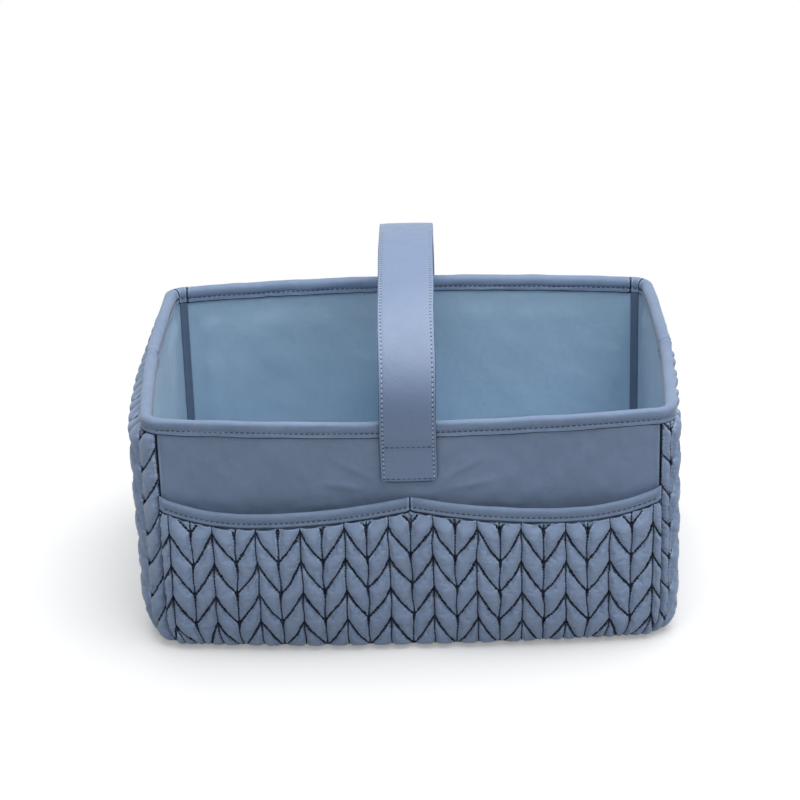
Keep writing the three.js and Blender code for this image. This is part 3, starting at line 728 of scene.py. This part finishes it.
pocket_front = quilt(
    "pocket_front_quilt", -POCKET_END, POCKET_END, FRONT_STEP, start=3.2, drop=FRONT_DROP, droop=pocket_droop,
    z_high=lambda s: float(pocket_mouth(s)) - 10.25, height=4.7, place=pocket_place, spacing=1.55, seed=3,
    full_top=True,
)
side_right = quilt(
    "side_right_quilt", -1, SIDE_STEPS - 1, SIDE_STEP, start=12.0, drop=SIDE_DROP, droop=lambda s: 0 * np.asarray(s),
    z_high=lambda s: BINDING_LOW + 1.2, height=3.9, place=side_quilt_place, spacing=1.65, seed=5,
)
pocket_back = copied(pocket_front, "pocket_back_quilt")
side_left = copied(side_right, "side_left_quilt")


def pad_front(obj, push, press, low):
    """Towards the front corner, a side's padding is pushed out by some millimetres, or pressed flatter by a share.

    Below, low is how much of it is left.
    """
    co = places(obj.data)
    x, y, z = co.T / MM
    p = CORNER_END + (y / (BODY_Y - CORNER) + 1) * SIDE_RUN / 2
    flat = np.abs(wall(p, z, SKIN_IN + 0.8)[:, 0])
    from_end = np.minimum(y, -y) + BODY_Y
    amount = smooth(0, 30, z) * smooth(0, 9, BINDING_LOW - z) * smooth(3, 22, from_end)
    amount = amount * (1 - 0.55 * smooth(-70, 70, y)) * (low + (1 - low) * smooth(40, 130, z))
    away = np.clip(np.abs(x) - flat, 0, 9) * smooth(16, 26, from_end)
    co[:, 0] += np.sign(x) * (push - press * away) * amount * MM
    obj.data.vertices.foreach_set("co", co.ravel())


pad_front(side_left, 5.9, 0.0, 0.85)
pad_front(side_right, 0.0, 0.62, 0.1)
for obj, look, node in (
    (pocket_front, quilt_cloth, "front_pocket_panel"), (pocket_back, quilt_cloth, "back_pocket_panel"),
    (side_right, side_cloth, "right_quilted_panel"), (side_left, side_cloth, "left_quilted_panel"),
):
    dress(obj, look, "quilted_cloth", node)


# Plain wall cloth above and behind the pockets
def wall_cloth(name, p, z, out, thickness, relief, seams=()):
    """A sheet on the wall. relief(p, z, at) moves its outer face out; seams are the places of seams, which the cloth
    paints with a dark line of shade in their crease.
    """
    p, z = grid(p, z)
    flat = wall(p, z, out)
    lift = math.copysign(1, thickness) * relief(p, z, flat)
    thin = np.where(np.abs(p) > SEAM_P + 0.01, 0.12, 1.0) if seams else 1.0
    run = run_along(flat[:, 0])
    edge = np.full(p.shape, NO_SEAM)
    for place in seams:
        edge = np.minimum(edge, np.abs(run - np.interp(place, p[:, 0], run))[:, None] - 0.3)
    return slab(name, wall(p, z, out + thickness * thin + lift), wall(p, z, out + lift * 0.9), edge)


def band_relief(p, z, at):
    x = at[..., 0]
    folds = 0.35 * wave(11, 0.008, 0.03, x, z * 0.7) + 0.16 * wave(12, 0.03, 0.08, x, z)
    corner = 0.7 * bell(z - 158, 8.0) * bell(np.abs(x) - 168, 16.0)
    pull = 0
    for slope, reach, size in ((0.18, 44, 1.0), (0.55, 36, 0.8), (-0.12, 62, 0.5)):
        across = (z - 121 - slope * np.abs(x)) / math.hypot(1, slope)
        pull = pull + size * bell(across, 2.6) * bell(np.abs(x) - reach, 15.0)
    calm = smooth(0, 6, z - 1) * smooth(0, 6, RIM - 4 - z) * smooth(0, 1.2, SEAM_P - np.abs(p))
    calm = calm * (1 - 0.85 * smooth(24, 18, np.abs(x)) * smooth(122, 132, z))
    return np.clip(0.35 + folds + pull + corner, 0, 2) * calm


BAND_P = np.concatenate([np.linspace(-SEAM_P, SEAM_P, 220), *((-SEAM_P - v, SEAM_P + v) for v in (0.08, 0.32))])
front_band = wall_cloth(
    "front_band", np.sort(BAND_P), np.linspace(PANEL_LOW, RIM - 1.6, 90), SKIN_IN, CLOTH, band_relief,
    (-SEAM_P, SEAM_P),
)
for obj, side in pair(front_band, "back_band"):
    dress(obj, band_cloth, "cloth", side + "_panel")


# Linings
def lining_relief(seed, has_tape):
    def relief(p, z, at):
        x = np.hypot(at[..., 0] - at[:1, :1, 0], at[..., 1] - at[:1, :1, 1])
        a = SIDE_MIDDLE - np.abs(np.abs(p) - SIDE_MIDDLE)
        to_corner = np.abs(a - SEAM_P)
        folds = 0.45 * wave(seed, 0.007, 0.03, x, z * 0.35) + 0.2 * wave(seed + 1, 0.02, 0.06, x, z)
        folds = folds + bell(to_corner - 3.2, 1.6) * (0.9 * wave(seed + 2, 0.02, 0.05, x, z * 0.2) + 0.5)
        calm = smooth(0, 12, z - 8) * smooth(0, 14, 158 - z) * smooth(0.9, 2.6, to_corner)
        if has_tape:
            calm = calm * smooth(2.0, 5.0, a)
        return np.clip(0.45 + folds, 0, 2.2) * calm

    return relief


LINING_Z = np.linspace(FLOOR_TOP - 1.0, RIM - 5.5, 60)
for sides, low, high, count, seed, length in (
    (("front", "back"), -SEAM_P, SEAM_P, 150, 21, 0.37),
    (("right", "left"), SEAM_P, 2 * SIDE_MIDDLE - SEAM_P, 120, 31, 0.235),
):
    names = ["lining_" + side + "_cloth" for side in sides]
    relief = lining_relief(seed, "front" in sides)
    first = wall_cloth(names[0], np.linspace(low, high, count), LINING_Z, LINING_OUT, -CLOTH, relief)
    for obj, side in pair(first, names[1], sides):
        dress(obj, lining_cloth, "lining_cloth", "lining_" + side)


# Bindings: a folded strip with a rolled crown, a stitched groove on each leg and turned-in edges. In a section's third
# column, the small ways at the lower edges paint a dark line of shadow there, with a painted highlight beside it, and
# the ways near 1 give the stitched grooves the painted highlight the cloth puts beside a seam.
RIM_SECTION = [  # out, up, way to the nearest seam
    (1.25, -10.6, 0.2), (1.9, -11.0, 0.1), (2.35, -10.8, 0.1), (2.55, -10.3, 0.3), (2.55, -9.9, 1.4), (2.5, -9.3, 9),
    (2.2, -8.3, 3), (1.85, -7.7, 1.4), (1.78, -7.3, 1.0), (1.85, -6.9, 1.4), (2.15, -6.3, 3), (2.5, -5.5, 9),
    (2.62, -4.3, 9), (2.6, -3.0, 9), (2.4, -1.8, 9), (1.85, -0.85, 9), (0.8, -0.3, 9), (-0.8, -0.15, 9),
    (-2.2, -0.3, 9), (-3.6, -0.8, 9), (-4.7, -1.8, 9), (-5.25, -3.2, 9), (-5.45, -4.6, 9), (-5.4, -5.6, 9),
    (-5.15, -6.3, 3), (-4.85, -6.9, 1.4), (-4.78, -7.3, 1.0), (-4.85, -7.7, 1.4), (-5.2, -8.3, 3), (-5.45, -9.3, 9),
    (-5.5, -9.9, 1.4), (-5.5, -10.3, 0.3), (-5.35, -10.8, 0.1), (-4.95, -11.0, 0.1), (-4.35, -10.6, 0.2),
    (-4.3, -7.0, 9), (-4.25, -3.2, 9), (-3.5, -1.9, 9), (-1.5, -1.1, 9), (0.4, -1.1, 9), (1.25, -2.0, 9),
    (1.25, -7.0, 9),
]
POCKET_SECTION = [
    (1.0, -9.7, 0.2), (1.7, -10.0, 0.1), (2.1, -9.85, 0.15), (2.35, -9.3, 1.6), (2.3, -8.6, 9), (2.05, -7.9, 3),
    (1.75, -7.4, 1.4), (1.7, -7.0, 1.0), (1.75, -6.6, 1.4), (2.05, -6.0, 3), (2.5, -5.0, 9), (2.7, -3.6, 9),
    (2.65, -2.1, 9), (2.05, -0.8, 9), (0.9, -0.05, 9), (-0.4, -0.3, 9), (-1.3, -1.2, 9), (-1.65, -2.8, 9),
    (-1.5, -4.8, 9), (-1.2, -6.6, 3), (-1.25, -7.4, 3), (-1.45, -8.4, 9), (-1.5, -9.4, 9), (-0.9, -9.8, 9),
    (-0.45, -9.3, 9), (-0.4, -2.2, 9), (0.35, -1.5, 9), (0.95, -2.4, 9),
]
UNDER_STRAP = 2.25  # how far out the rim binding may reach where the strap lies on it


def binding(name, p, seed, dark_at=(), folds=(), level=RIM, base=0.0, mouth=False):
    """A binding along the rim, or along the pocket's mouth: its crown is at level, and its cloth base out."""
    section = np.array(POCKET_SECTION if mouth else RIM_SECTION)
    level, base = (np.broadcast_to(v, p.shape) for v in (level, base))
    path = wall(p, level - 3, base)
    run = run_along(path)
    turn = np.linspace(0, 2 * math.pi, len(section), endpoint=False)
    soft = 1 + 2.0 * bell(np.abs(p) - FRONT_STEPS - 2, 1.6)[:, None]
    swell = 1 + 0.05 * wave(seed, 0.02, 0.11, run[:, None], 40 * np.cos(turn)[None], 40 * np.sin(turn)[None]) * soft
    middle = section[:, 0].mean()
    out = (section[None, :, 0] - middle) * swell
    up = section[None, :, 1] + np.maximum(0.16 * soft * wave(seed + 1, 0.012, 0.05, run[:, None] + 0 * turn), -0.12)
    seam = np.tile(section[:, 2], (len(p), 1))
    for where in folds:
        # A sharp fold across the binding, with a small roll on each side of it, painted shade in its crease and a
        # painted highlight beside it
        off = (run - np.interp(where, p, run))[:, None]
        rolls, crease = bell(np.abs(off) - 3.2, 2.0), bell(off, 1.1)
        out = out * (1 + 0.16 * rolls - 0.3 * crease)
        up = up + (0.6 * rolls - 0.5 * crease) * (section[None, :, 1] > -4)
        seam = np.minimum(seam, np.abs(off) * 1.2 + 0.15)
    if mouth:
        pinch = 0.45 * bell(run - run[-1] / 2, 2.2) + 0.5 * bell(run, 2.5) + 0.5 * bell(run[-1] - run, 2.5)
        out = middle + out * (1 - pinch[:, None])
    else:
        out = middle + out
        under = smooth(30, 21, np.abs(path[:, 0]))[:, None]
        out = np.where(out > UNDER_STRAP, out + (UNDER_STRAP - out) * under, out)
    for where in dark_at:
        seam = np.minimum(seam, np.abs(run - np.interp(where, p, run))[:, None] * 0.9)
    return tube(name, wall(p[:, None], level[:, None] + up, base[:, None] + out), seam)


def dense(a, b, per=3.0):
    return np.linspace(a, b, max(3, int(abs(b - a) * per) + 1))


# Where its main length ends, and where a corner piece starts and ends, in degrees round the back corners
RIM_TURNS = 43.9, 42.3, 1.4
main_end, corner_from, corner_to = (2 * SIDE_MIDDLE - turn_place(turn) for turn in RIM_TURNS)
rim_main = binding(
    "rim_main_binding", dense(-main_end, main_end, 5.0), 41, (-main_end, main_end), (-SIDE_MIDDLE, SIDE_MIDDLE)
)
rim_back = binding("rim_back_binding", dense(-FRONT_STEPS, FRONT_STEPS), 43, (-FRONT_STEPS, FRONT_STEPS))
rim_back.data.transform(HALF_TURN)
rim_right = binding("rim_corner_right_binding", dense(corner_from, corner_to, 8.0), 45, (corner_from, corner_to))
rim_left = copied(rim_right, "rim_corner_left_binding", MIRROR)
pocket_s = np.linspace(-POCKET_END, POCKET_END, 231)
mouth_p, mouth_level = front_place(pocket_s), pocket_mouth(pocket_s)
mouth_base = pocket_inner(pocket_s, mouth_level)
mouth_front = binding(
    "pocket_front_binding", mouth_p, 47, (-SEAM_P, 0.0, SEAM_P), level=mouth_level, base=mouth_base, mouth=True
)
mouth_back = copied(mouth_front, "pocket_back_binding_cloth")
for obj, node in (
    (rim_main, "rim_binding_front_and_sides"), (rim_back, "rim_binding_back"),
    (rim_right, "rim_binding_corner_right"), (rim_left, "rim_binding_corner_left"),
    (mouth_front, "front_pocket_binding"), (mouth_back, "back_pocket_binding"),
):
    dress(obj, binding_cloth, "cloth", node)


# Stitches: short threads laid along a path. Each kind has its pitch, and a thread's length, width and height.
BINDING_STITCH = 3.7, 2.6, 0.85, 0.5
STRAP_STITCH = 3.4, 2.2, 0.75, 0.55
# Dark marks where the strap's threads go through the hide, laid like threads: painted shade
STRAP_HOLE_SHADE = 3.4, 0.9, 1.15, 0.4
CROSS_STITCH = 3.6, 2.5, 0.85, 0.4
DIVIDER_STITCH = 3.3, 2.3, 0.75, 0.5
RIM_LEGS, MOUTH_LEGS = (1.88, -4.88), (1.82, -1.28)  # how far out the threads are, outside and inside


def stitches(path, normals, pitch, length, width, height, shift=0.5):
    """Vertices and faces of a row of small rounded threads."""
    run = run_along(path)
    count = max(1, int(run[-1] / pitch))
    at = (np.arange(count) + shift) * run[-1] / count
    pick = lambda values, t: np.stack([np.interp(t, run, v) for v in values.T], -1)
    tangent = pick(path, at + 0.4) - pick(path, at - 0.4)
    tangent /= np.linalg.norm(tangent, axis=1)[:, None]
    normal = pick(normals, at)
    normal -= tangent * (normal * tangent).sum(1)[:, None]
    normal /= np.linalg.norm(normal, axis=1)[:, None]
    side = np.cross(tangent, normal)
    turn = np.arange(6) * math.pi / 3
    rings = [
        pick(path, at)[:, None] + tangent[:, None] * (t * length / 2)
        + side[:, None] * (np.cos(turn)[None, :, None] * r * width / 2)
        + normal[:, None] * (np.sin(turn)[None, :, None] * r * height / 2)
        for t, r in ((-1, 0.45), (-0.7, 1), (0.7, 1), (1, 0.45))
    ]
    one = [(i + k, i + (k + 1) % 6, i + 6 + (k + 1) % 6, i + 6 + k) for i in (0, 6, 12) for k in range(6)]
    one += [tuple(range(6)), tuple(range(18, 24))]
    return np.stack(rings, 1).reshape(-1, 3), [tuple(24 * i + v for v in f) for i in range(count) for f in one]


def sewn(name, rows, material=thread, slot="cloth", body="caddy"):
    """One piece of all the threads in these rows."""
    verts, faces, base = [], [], 0
    for v, f in rows:
        verts.append(v)
        faces += [tuple(i + base for i in g) for g in f]
        base += len(v)
    return dress(new_object(name, np.concatenate(verts), faces), material, slot, body=body)


def leg_threads(p, level=RIM, base=0.0, legs=RIM_LEGS, drop=7.3):
    """The threads of one binding, on its outer and its inner leg."""
    rows = []
    for leg, way in zip(legs, (1, -1)):
        path = wall(p, level - drop, base + leg)
        normals = wall(p, level - drop, base + leg + 1) - path
        rows.append(stitches(path, way * normals, *BINDING_STITCH))
    return rows


sewn("rim_threads", leg_threads(dense(-main_end, main_end)) + leg_threads(dense(corner_from, corner_to, 8.0))
     + leg_threads(dense(-corner_to, -corner_from, 8.0)))
sewn("rim_back_threads", leg_threads(dense(-FRONT_STEPS, FRONT_STEPS))).data.transform(HALF_TURN)
but_ends = slice(3, -3)
front_threads = sewn(
    "pocket_front_threads",
    leg_threads(mouth_p[but_ends], mouth_level[but_ends], mouth_base[but_ends], MOUTH_LEGS, 7.0),
)
dress(copied(front_threads, "pocket_back_threads"), thread, "cloth")

# Carrying strap: its path across the body, then a swept section with stitched edges
STRAP_HALF, STRAP_END, STRAP_GROOVE, STRAP_STEP = 19.5, 132.6, 17.1, 1.8
STRAP_FACE = BODY_Y + BOW_RIM + 2.5
STRAP_TURN, STRAP_RISE = 183.0, 62.0  # where its arch starts, and how much higher it goes
ARCH_POWER = 2 / 2.3


def strap_path():
    z = np.linspace(STRAP_END, STRAP_TURN, 60)
    face = BODY_Y + bow(z) + SKIN_OUT + 0.3
    y = face + (STRAP_FACE - face) * smooth(157, 168, z)
    turn = np.linspace(0, math.pi / 2, 400)[1:]
    y = np.concatenate([y, STRAP_FACE * np.cos(turn) ** ARCH_POWER])
    z = np.concatenate([z, STRAP_TURN + STRAP_RISE * np.sin(turn) ** ARCH_POWER])
    y, z = np.concatenate([-y, y[::-1][1:]]), np.concatenate([z, z[::-1][1:]])
    run = run_along(np.stack([y, z], -1))
    at = np.linspace(0, run[-1], int(run[-1] / STRAP_STEP) + 1)
    y, z = np.interp(at, run, y), np.interp(at, run, z)
    ty, tz = np.gradient(y), np.gradient(z)
    size = np.hypot(ty, tz)
    return at, (y, z, -tz / size, ty / size)


strap_run, strap_line = strap_path()
strap_length = strap_run[-1]


def on_strap(run, x, out):
    """A place on the strap: how far along it, across it, and out from its inner face."""
    y, z, ny, nz = (np.interp(run, strap_run, v) for v in strap_line)
    sway = 0.35 * wave(61, 0.003, 0.012, run)
    x = x + sway * smooth(0, 60, np.minimum(run, strap_length - run))
    return np.stack([x, y + ny * out, z + nz * out], -1)


STRAP_SECTION = [  # across, out: the right half
    (0, 3.05), (5, 3.03), (10, 2.97), (14, 2.86), (15.8, 2.78), (16.6, 2.62), (STRAP_GROOVE, 2.52), (17.6, 2.62),
    (18.3, 2.74), (18.9, 2.66), (19.3, 2.4), (STRAP_HALF, 1.95), (19.35, 1.4), (STRAP_HALF, 0.85), (19.3, 0.4),
    (18.9, 0.12), (18.0, 0.0), (STRAP_GROOVE, 0.15), (16.2, 0.0), (8, 0.0),
]


STRAP_SECTION += [(0, 0.0)] + [(-x, out) for x, out in STRAP_SECTION[:0:-1]]
across, out = np.array(STRAP_SECTION).T
strap_at = strap_run[:, None]
near_end = np.minimum(strap_at, strap_length - strap_at)
short = 4 * (1 - np.sqrt(1 - np.clip(1 - near_end / 4, 0, 1) ** 2))
x = across * ((STRAP_HALF - short) / STRAP_HALF)
relief = 0.06 * wave(62, 0.01, 0.05, strap_at, across[None]) * (out > 1.5)
rings = on_strap(strap_at + 0 * x, x, out * (0.72 + 0.28 * smooth(0, 1.6, near_end)) + relief)
edge = np.maximum(np.abs(across) > 19.2, near_end < 0.6)
# The stitched grooves are marked for the hide's painted shade along them
groove = np.where((np.abs(np.abs(across) - STRAP_GROOVE) < 0.1) & (out > 2), 0.7, NO_SEAM)
strap = tube("strap", rings, np.tile(groove, (len(strap_run), 1)), {"edge": edge})
dress(strap, strap_hide, "strap_hide", "strap_under_layer", "strap_outer_layer")
light, dark, hole_shade_rows = [], [], []
run = np.linspace(3.0, strap_length - 3.0, 400)
for x in (-STRAP_GROOVE, STRAP_GROOVE):
    path = on_strap(run, x, 2.62)
    normals = on_strap(run, x, 3.62) - path
    light.append(stitches(path, normals, *STRAP_STITCH))
    # Between the threads, dark marks of painted shade where they go through the hide
    hole_shade_rows.append(stitches(path, normals, *STRAP_HOLE_SHADE, 0.0))
for end in (3.0, 28.1):
    for at in (end, strap_length - end):
        run, x = np.full(40, at), np.linspace(-16.2, 16.2, 40)
        path = on_strap(run, x, 3.04)
        dark.append(stitches(path, on_strap(run, x, 3.92) - path, *CROSS_STITCH))
sewn("strap_edge_threads", light, strap_thread, "strap_hide")
sewn("strap_cross_threads", dark, thread, "strap_hide")
sewn("strap_stitch_hole_shade", hole_shade_rows, hole_shade, "strap_hide")

# Tape over each inside corner seam, and the loop tapes up the middle of the front and the back
p, z = grid(np.linspace(turn_place(1), turn_place(38), 21), np.linspace(7.0, BINDING_LOW + 1.0, 60))
across = grid(np.abs(np.linspace(-1, 1, 21)), z[0])[0]
swell = 0.35 * (1 - across**4) + 0.12 * wave(71, 0.02, 0.06, 20 * across, z)
# Marks near the tape's sides get the faint painted shade and highlight that the cloth puts beside a seam
tape_right = slab(
    "corner_tape_a", wall(p, z, LINING_IN - 0.25 - 0.5 - swell), wall(p, z, LINING_IN - 0.25),
    np.where(np.abs(across - 0.8) < 0.09, 0.8, NO_SEAM),
)
tape_left = copied(tape_right, "corner_tape_b", MIRROR)
for obj, corner in (
    (tape_right, "front_right"), (tape_left, "front_left"),
    (copied(tape_right, "corner_tape_c"), "back_left"), (copied(tape_left, "corner_tape_d"), "back_right"),
):
    dress(obj, tape_cloth, "cloth", "corner_tape_" + corner)

GRIP_Z = np.linspace(22.3, 127.7, 80)
GRIP_HALF, HOOK_HALF = 9.9, 3.15
x, z = grid(np.linspace(-GRIP_HALF, GRIP_HALF, 13), GRIP_Z)
face = BODY_Y + bow(z) + LINING_IN - 0.35
border = np.where((np.abs(x) > GRIP_HALF - 0.9) | (z < 23.4) | (z > 126.6), 1.0, NO_SEAM)
pile = np.where(border < 2, 0.15, 0.1 * wave(81, 0.03, 0.2, x * 9, z * 9))
low, high = (np.stack([x, -y, z], -1) for y in (face, face - 0.7 + 0.05 - pile))
for obj, side in pair(slab("loop_tape_front_pile", low, high, border), "loop_tape_back_pile"):
    dress(obj, hook_look, "grip_tape", "loop_tape_" + side)

# Divider: a padded panel with a folded binding round its outline, and hook tape on its ends
DIVIDER_LOW, DIVIDER_TOP, DIVIDER_ROUND, DIVIDER_GAP = 6.7, 145.0, 12.0, 2.5
PAD_INSET = 1.2


def divider_reach(z):
    return BODY_Y - tuck(*Y_TUCK, z) + bow(z) + LINING_IN - DIVIDER_GAP


top, radius = DIVIDER_TOP - PAD_INSET, DIVIDER_ROUND - PAD_INSET
share = np.concatenate([np.linspace(0, 0.86, 44), 0.86 + 0.14 * np.sin(np.linspace(0, math.pi / 2, 12))[1:]])
u, z = grid(np.linspace(-1, 1, 61), DIVIDER_LOW + (top - DIVIDER_LOW) * share)
short = radius * (1 - np.sqrt(1 - np.clip((z - top + radius) / radius, 0, 1) ** 2))
half = divider_reach(z) - PAD_INSET - short
y = u * half
edge = np.minimum(np.minimum(half - np.abs(y), top - z), z - DIVIDER_LOW)
puff = 2.3 + 0.95 * smooth(0, 24, edge) + 0.16 * wave(91, 0.01, 0.04, y, z) * smooth(4, 20, edge)
pad = slab("divider_pad", *(np.stack([x, y, z], -1) for x in (puff, -puff)))
dress(pad, lining_cloth, "lining_cloth", "divider_core", "divider_cover_right", "divider_cover_left", body="divider")

DIVIDER_SECTION = [  # across, in from the outline: the outer side's right half, then the inner side
    (3.6, 8.0), (4.1, 7.7), (4.15, 7.0), (3.75, 6.2), (3.7, 5.9), (4.05, 5.2), (4.35, 3.8), (4.25, 2.2), (3.5, 0.8),
    (1.8, 0.1), (0, 0.0),
]
DIVIDER_SECTION += [(-x, inward) for x, inward in DIVIDER_SECTION[-2::-1]]
DIVIDER_SECTION += [(-3.3, 7.6), (-3.2, 2.0), (0, 1.4), (3.2, 2.0), (3.3, 7.6)]
DIVIDER_GROOVE = 6.05


def divider_line():
    """The divider's outline, and the way in from it."""
    turn = np.linspace(0, math.pi / 2, 14)
    low, high = np.linspace(DIVIDER_LOW, 12.0, 6), np.linspace(12.0, DIVIDER_TOP - DIVIDER_ROUND, 50)
    z = np.concatenate([low[:-1], high[:-1]])
    y = divider_reach(z)
    zc = DIVIDER_TOP - DIVIDER_ROUND * (1 - np.sin(turn))
    yc = divider_reach(zc) - DIVIDER_ROUND * (1 - np.cos(turn))
    across = np.linspace(-yc[-1], yc[-1], 90)[1:-1]
    y = np.concatenate([-y, -yc, across, yc[::-1], y[::-1]])
    z = np.concatenate([z, zc, np.full(len(across), DIVIDER_TOP), zc[::-1], z[::-1]])
    ty, tz = np.gradient(y), np.gradient(z)
    size = np.hypot(ty, tz)
    return y[:, None], z[:, None], (tz / size)[:, None], (-ty / size)[:, None]


y, z, in_y, in_z = divider_line()
across, inward = np.array(DIVIDER_SECTION).T
# The stitched groove gets the painted highlight that the cloth puts beside a seam
groove = np.where(np.abs(inward - DIVIDER_GROOVE) < 0.2, 0.9, NO_SEAM)
edge_binding = tube(
    "divider_edge_binding", np.stack([across + 0 * y, y + in_y * inward, z + in_z * inward], -1),
    np.tile(groove, (len(y), 1)),
)
dress(edge_binding, binding_cloth, "cloth", "divider_binding", body="divider")
rows = []
for side in (-1, 1):
    path = np.concatenate([0 * y + side * 3.72, y + in_y * DIVIDER_GROOVE, z + in_z * DIVIDER_GROOVE], 1)
    rows.append(stitches(path, np.tile([side, 0.0, 0.0], (len(y), 1)), *DIVIDER_STITCH))
sewn("divider_threads", rows, body="divider")

x, z = grid(np.linspace(-HOOK_HALF, HOOK_HALF, 9), GRIP_Z)
face = divider_reach(z) + DIVIDER_GAP
pile = 0.08 * wave(83, 0.03, 0.2, x * 9, z * 9)
low, high = (np.stack([x, -y, z], -1) for y in (face - 2.15, face - 1.5 + pile))
for obj, side in pair(slab("hook_tape_front_pile", low, high), "hook_tape_back_pile"):
    dress(obj, hook_look, "grip_tape", "hook_tape_" + side, body="divider")

# Floor lining and the outer cloth of the base
PLATE_RINGS = (0, 0.006, 0.02, 0.05, 0.1, 0.18, 0.3, 0.45, 0.6, 0.76, 0.9)


def plate(name, low, high, out, relief, round_edge):
    """A flat piece with the walls' outline, laid out in rings round its middle."""
    p = np.linspace(-2 * SIDE_MIDDLE, 2 * SIDE_MIDDLE, 313)[:-1]
    line = wall(p, (low + high) / 2, out)[:, :2]
    over, under = [], []
    for share in PLATE_RINGS:
        at, edge = line * (1 - share), share * 110
        bend = round_edge * (1 - smooth(0, 2.5, edge))
        over.append(np.column_stack([at, high - bend + relief(*at.T) * smooth(2, 14, edge)]))
        under.append(np.column_stack([at, np.full(len(at), low + bend)]))
    return tube(name, np.array(over[::-1] + under))


floor_cloth = plate(
    "floor_lining_cloth", 4.4, 6.3, LINING_IN - 1.0, lambda x, y: 0.25 * wave(95, 0.008, 0.03, x, y), 0.7
)
dress(floor_cloth, lining_cloth, "lining_cloth", "lining_floor")
base_cloth = plate("base_cloth", 0.0, 0.85, SKIN_OUT, lambda x, y: 0 * x, 0.3)
dress(base_cloth, band_cloth, "cloth", "base_outer_panel")

# Foam and board stay as they are, with their own materials
for node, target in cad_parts.items():
    if node.startswith("foam_") or node == "base_board":
        target.data.materials.clear()
        target.data.materials.append(board_look if node == "base_board" else foam_look)


# Floor, light and camera
def paper(name):
    """White paper: the object is lit by less light from it than the camera sees, and it fades to plain white."""
    n = Nodes(name)
    seen = n.seen()
    tone = n.mix(n.ramp(n.noise(3, 2), 0.3, 0.7), linear(240, 240, 240), linear(243, 243, 243))
    n.set(Base_Color=n.mix(seen, linear(178, 178, 178), tone), Roughness=0.95, Specular_IOR_Level=0.1)
    away = n.add("ShaderNodeVectorMath", operation="LENGTH")
    n.link(n.coords, away.inputs[0])
    far = n.ramp(away.outputs["Value"], 0.25, 0.5, 0.25, 1.0, True)
    n.show(n.times(seen, far), n.shader, n.add("ShaderNodeEmission").outputs[0])
    return n.mat


bpy.ops.mesh.primitive_grid_add(x_subdivisions=8, y_subdivisions=8, size=14, location=(0, 0, -0.0006))
ground = bpy.context.object
ground.name = "ground"
ground.data.materials.append(paper("paper"))

world = bpy.data.worlds.new("studio")
bpy.context.scene.world = world
n = Nodes(world, "World")
lights = []
for colour, strength in (((0.95, 0.98, 1.0, 1), 0.35), ((1, 1, 1, 1), 1.0)):
    lights.append(n.add("ShaderNodeBackground"))
    lights[-1].inputs[0].default_value, lights[-1].inputs[1].default_value = colour, strength
n.show(n.seen(), *(light.outputs[0] for light in lights))
LAMP_AIM = Vector((0, 0, 0.1))
for name, place, size, power in (
    ("overhead", (0.22, 0.02, 1.6), (2.2, 1.8), 42), ("front", (0.5, -1.9, 1.5), (1.4, 1.0), 7),
):
    data = bpy.data.lights.new(name, "AREA")
    data.shape, data.size, data.size_y, data.energy = "RECTANGLE", *size, power
    obj = link(bpy.data.objects.new(name, data))
    obj.location = place
    obj.rotation_euler = (LAMP_AIM - Vector(place)).to_track_quat("-Z", "Y").to_euler()

# The photo's camera: its angles in degrees, then its frame, lens and middle in pixels, and its distance in metres
AZ, EL, ROLL = (math.radians(v) for v in (0.8, 26.15, -1.6))
FRAME_PX, LENS_PX, MIDDLE_X, MIDDLE_Y, SENSOR = 800, 2788, 411.0, 447.0, 36
AIM, DISTANCE = Vector((0, 0, 0.095)), 2.04
back = Vector((math.sin(AZ) * math.cos(EL), -math.cos(AZ) * math.cos(EL), math.sin(EL)))
right = Vector((math.cos(AZ), math.sin(AZ), 0))
up = back.cross(right)
right, up = right * math.cos(ROLL) + up * math.sin(ROLL), up * math.cos(ROLL) - right * math.sin(ROLL)
place = AIM + back * DISTANCE
data = bpy.data.cameras.new("camera")
data.sensor_width, data.lens, data.clip_end = SENSOR, LENS_PX / FRAME_PX * SENSOR, 50
data.shift_x, data.shift_y = (FRAME_PX / 2 - MIDDLE_X) / FRAME_PX, (MIDDLE_Y - FRAME_PX / 2) / FRAME_PX
camera = link(bpy.data.objects.new("camera", data))
camera.matrix_world = Matrix([[right[i], up[i], back[i], place[i]] for i in range(3)] + [[0, 0, 0, 1]])
bpy.context.scene.camera = camera
bpy.context.scene.view_settings.view_transform = "Standard"
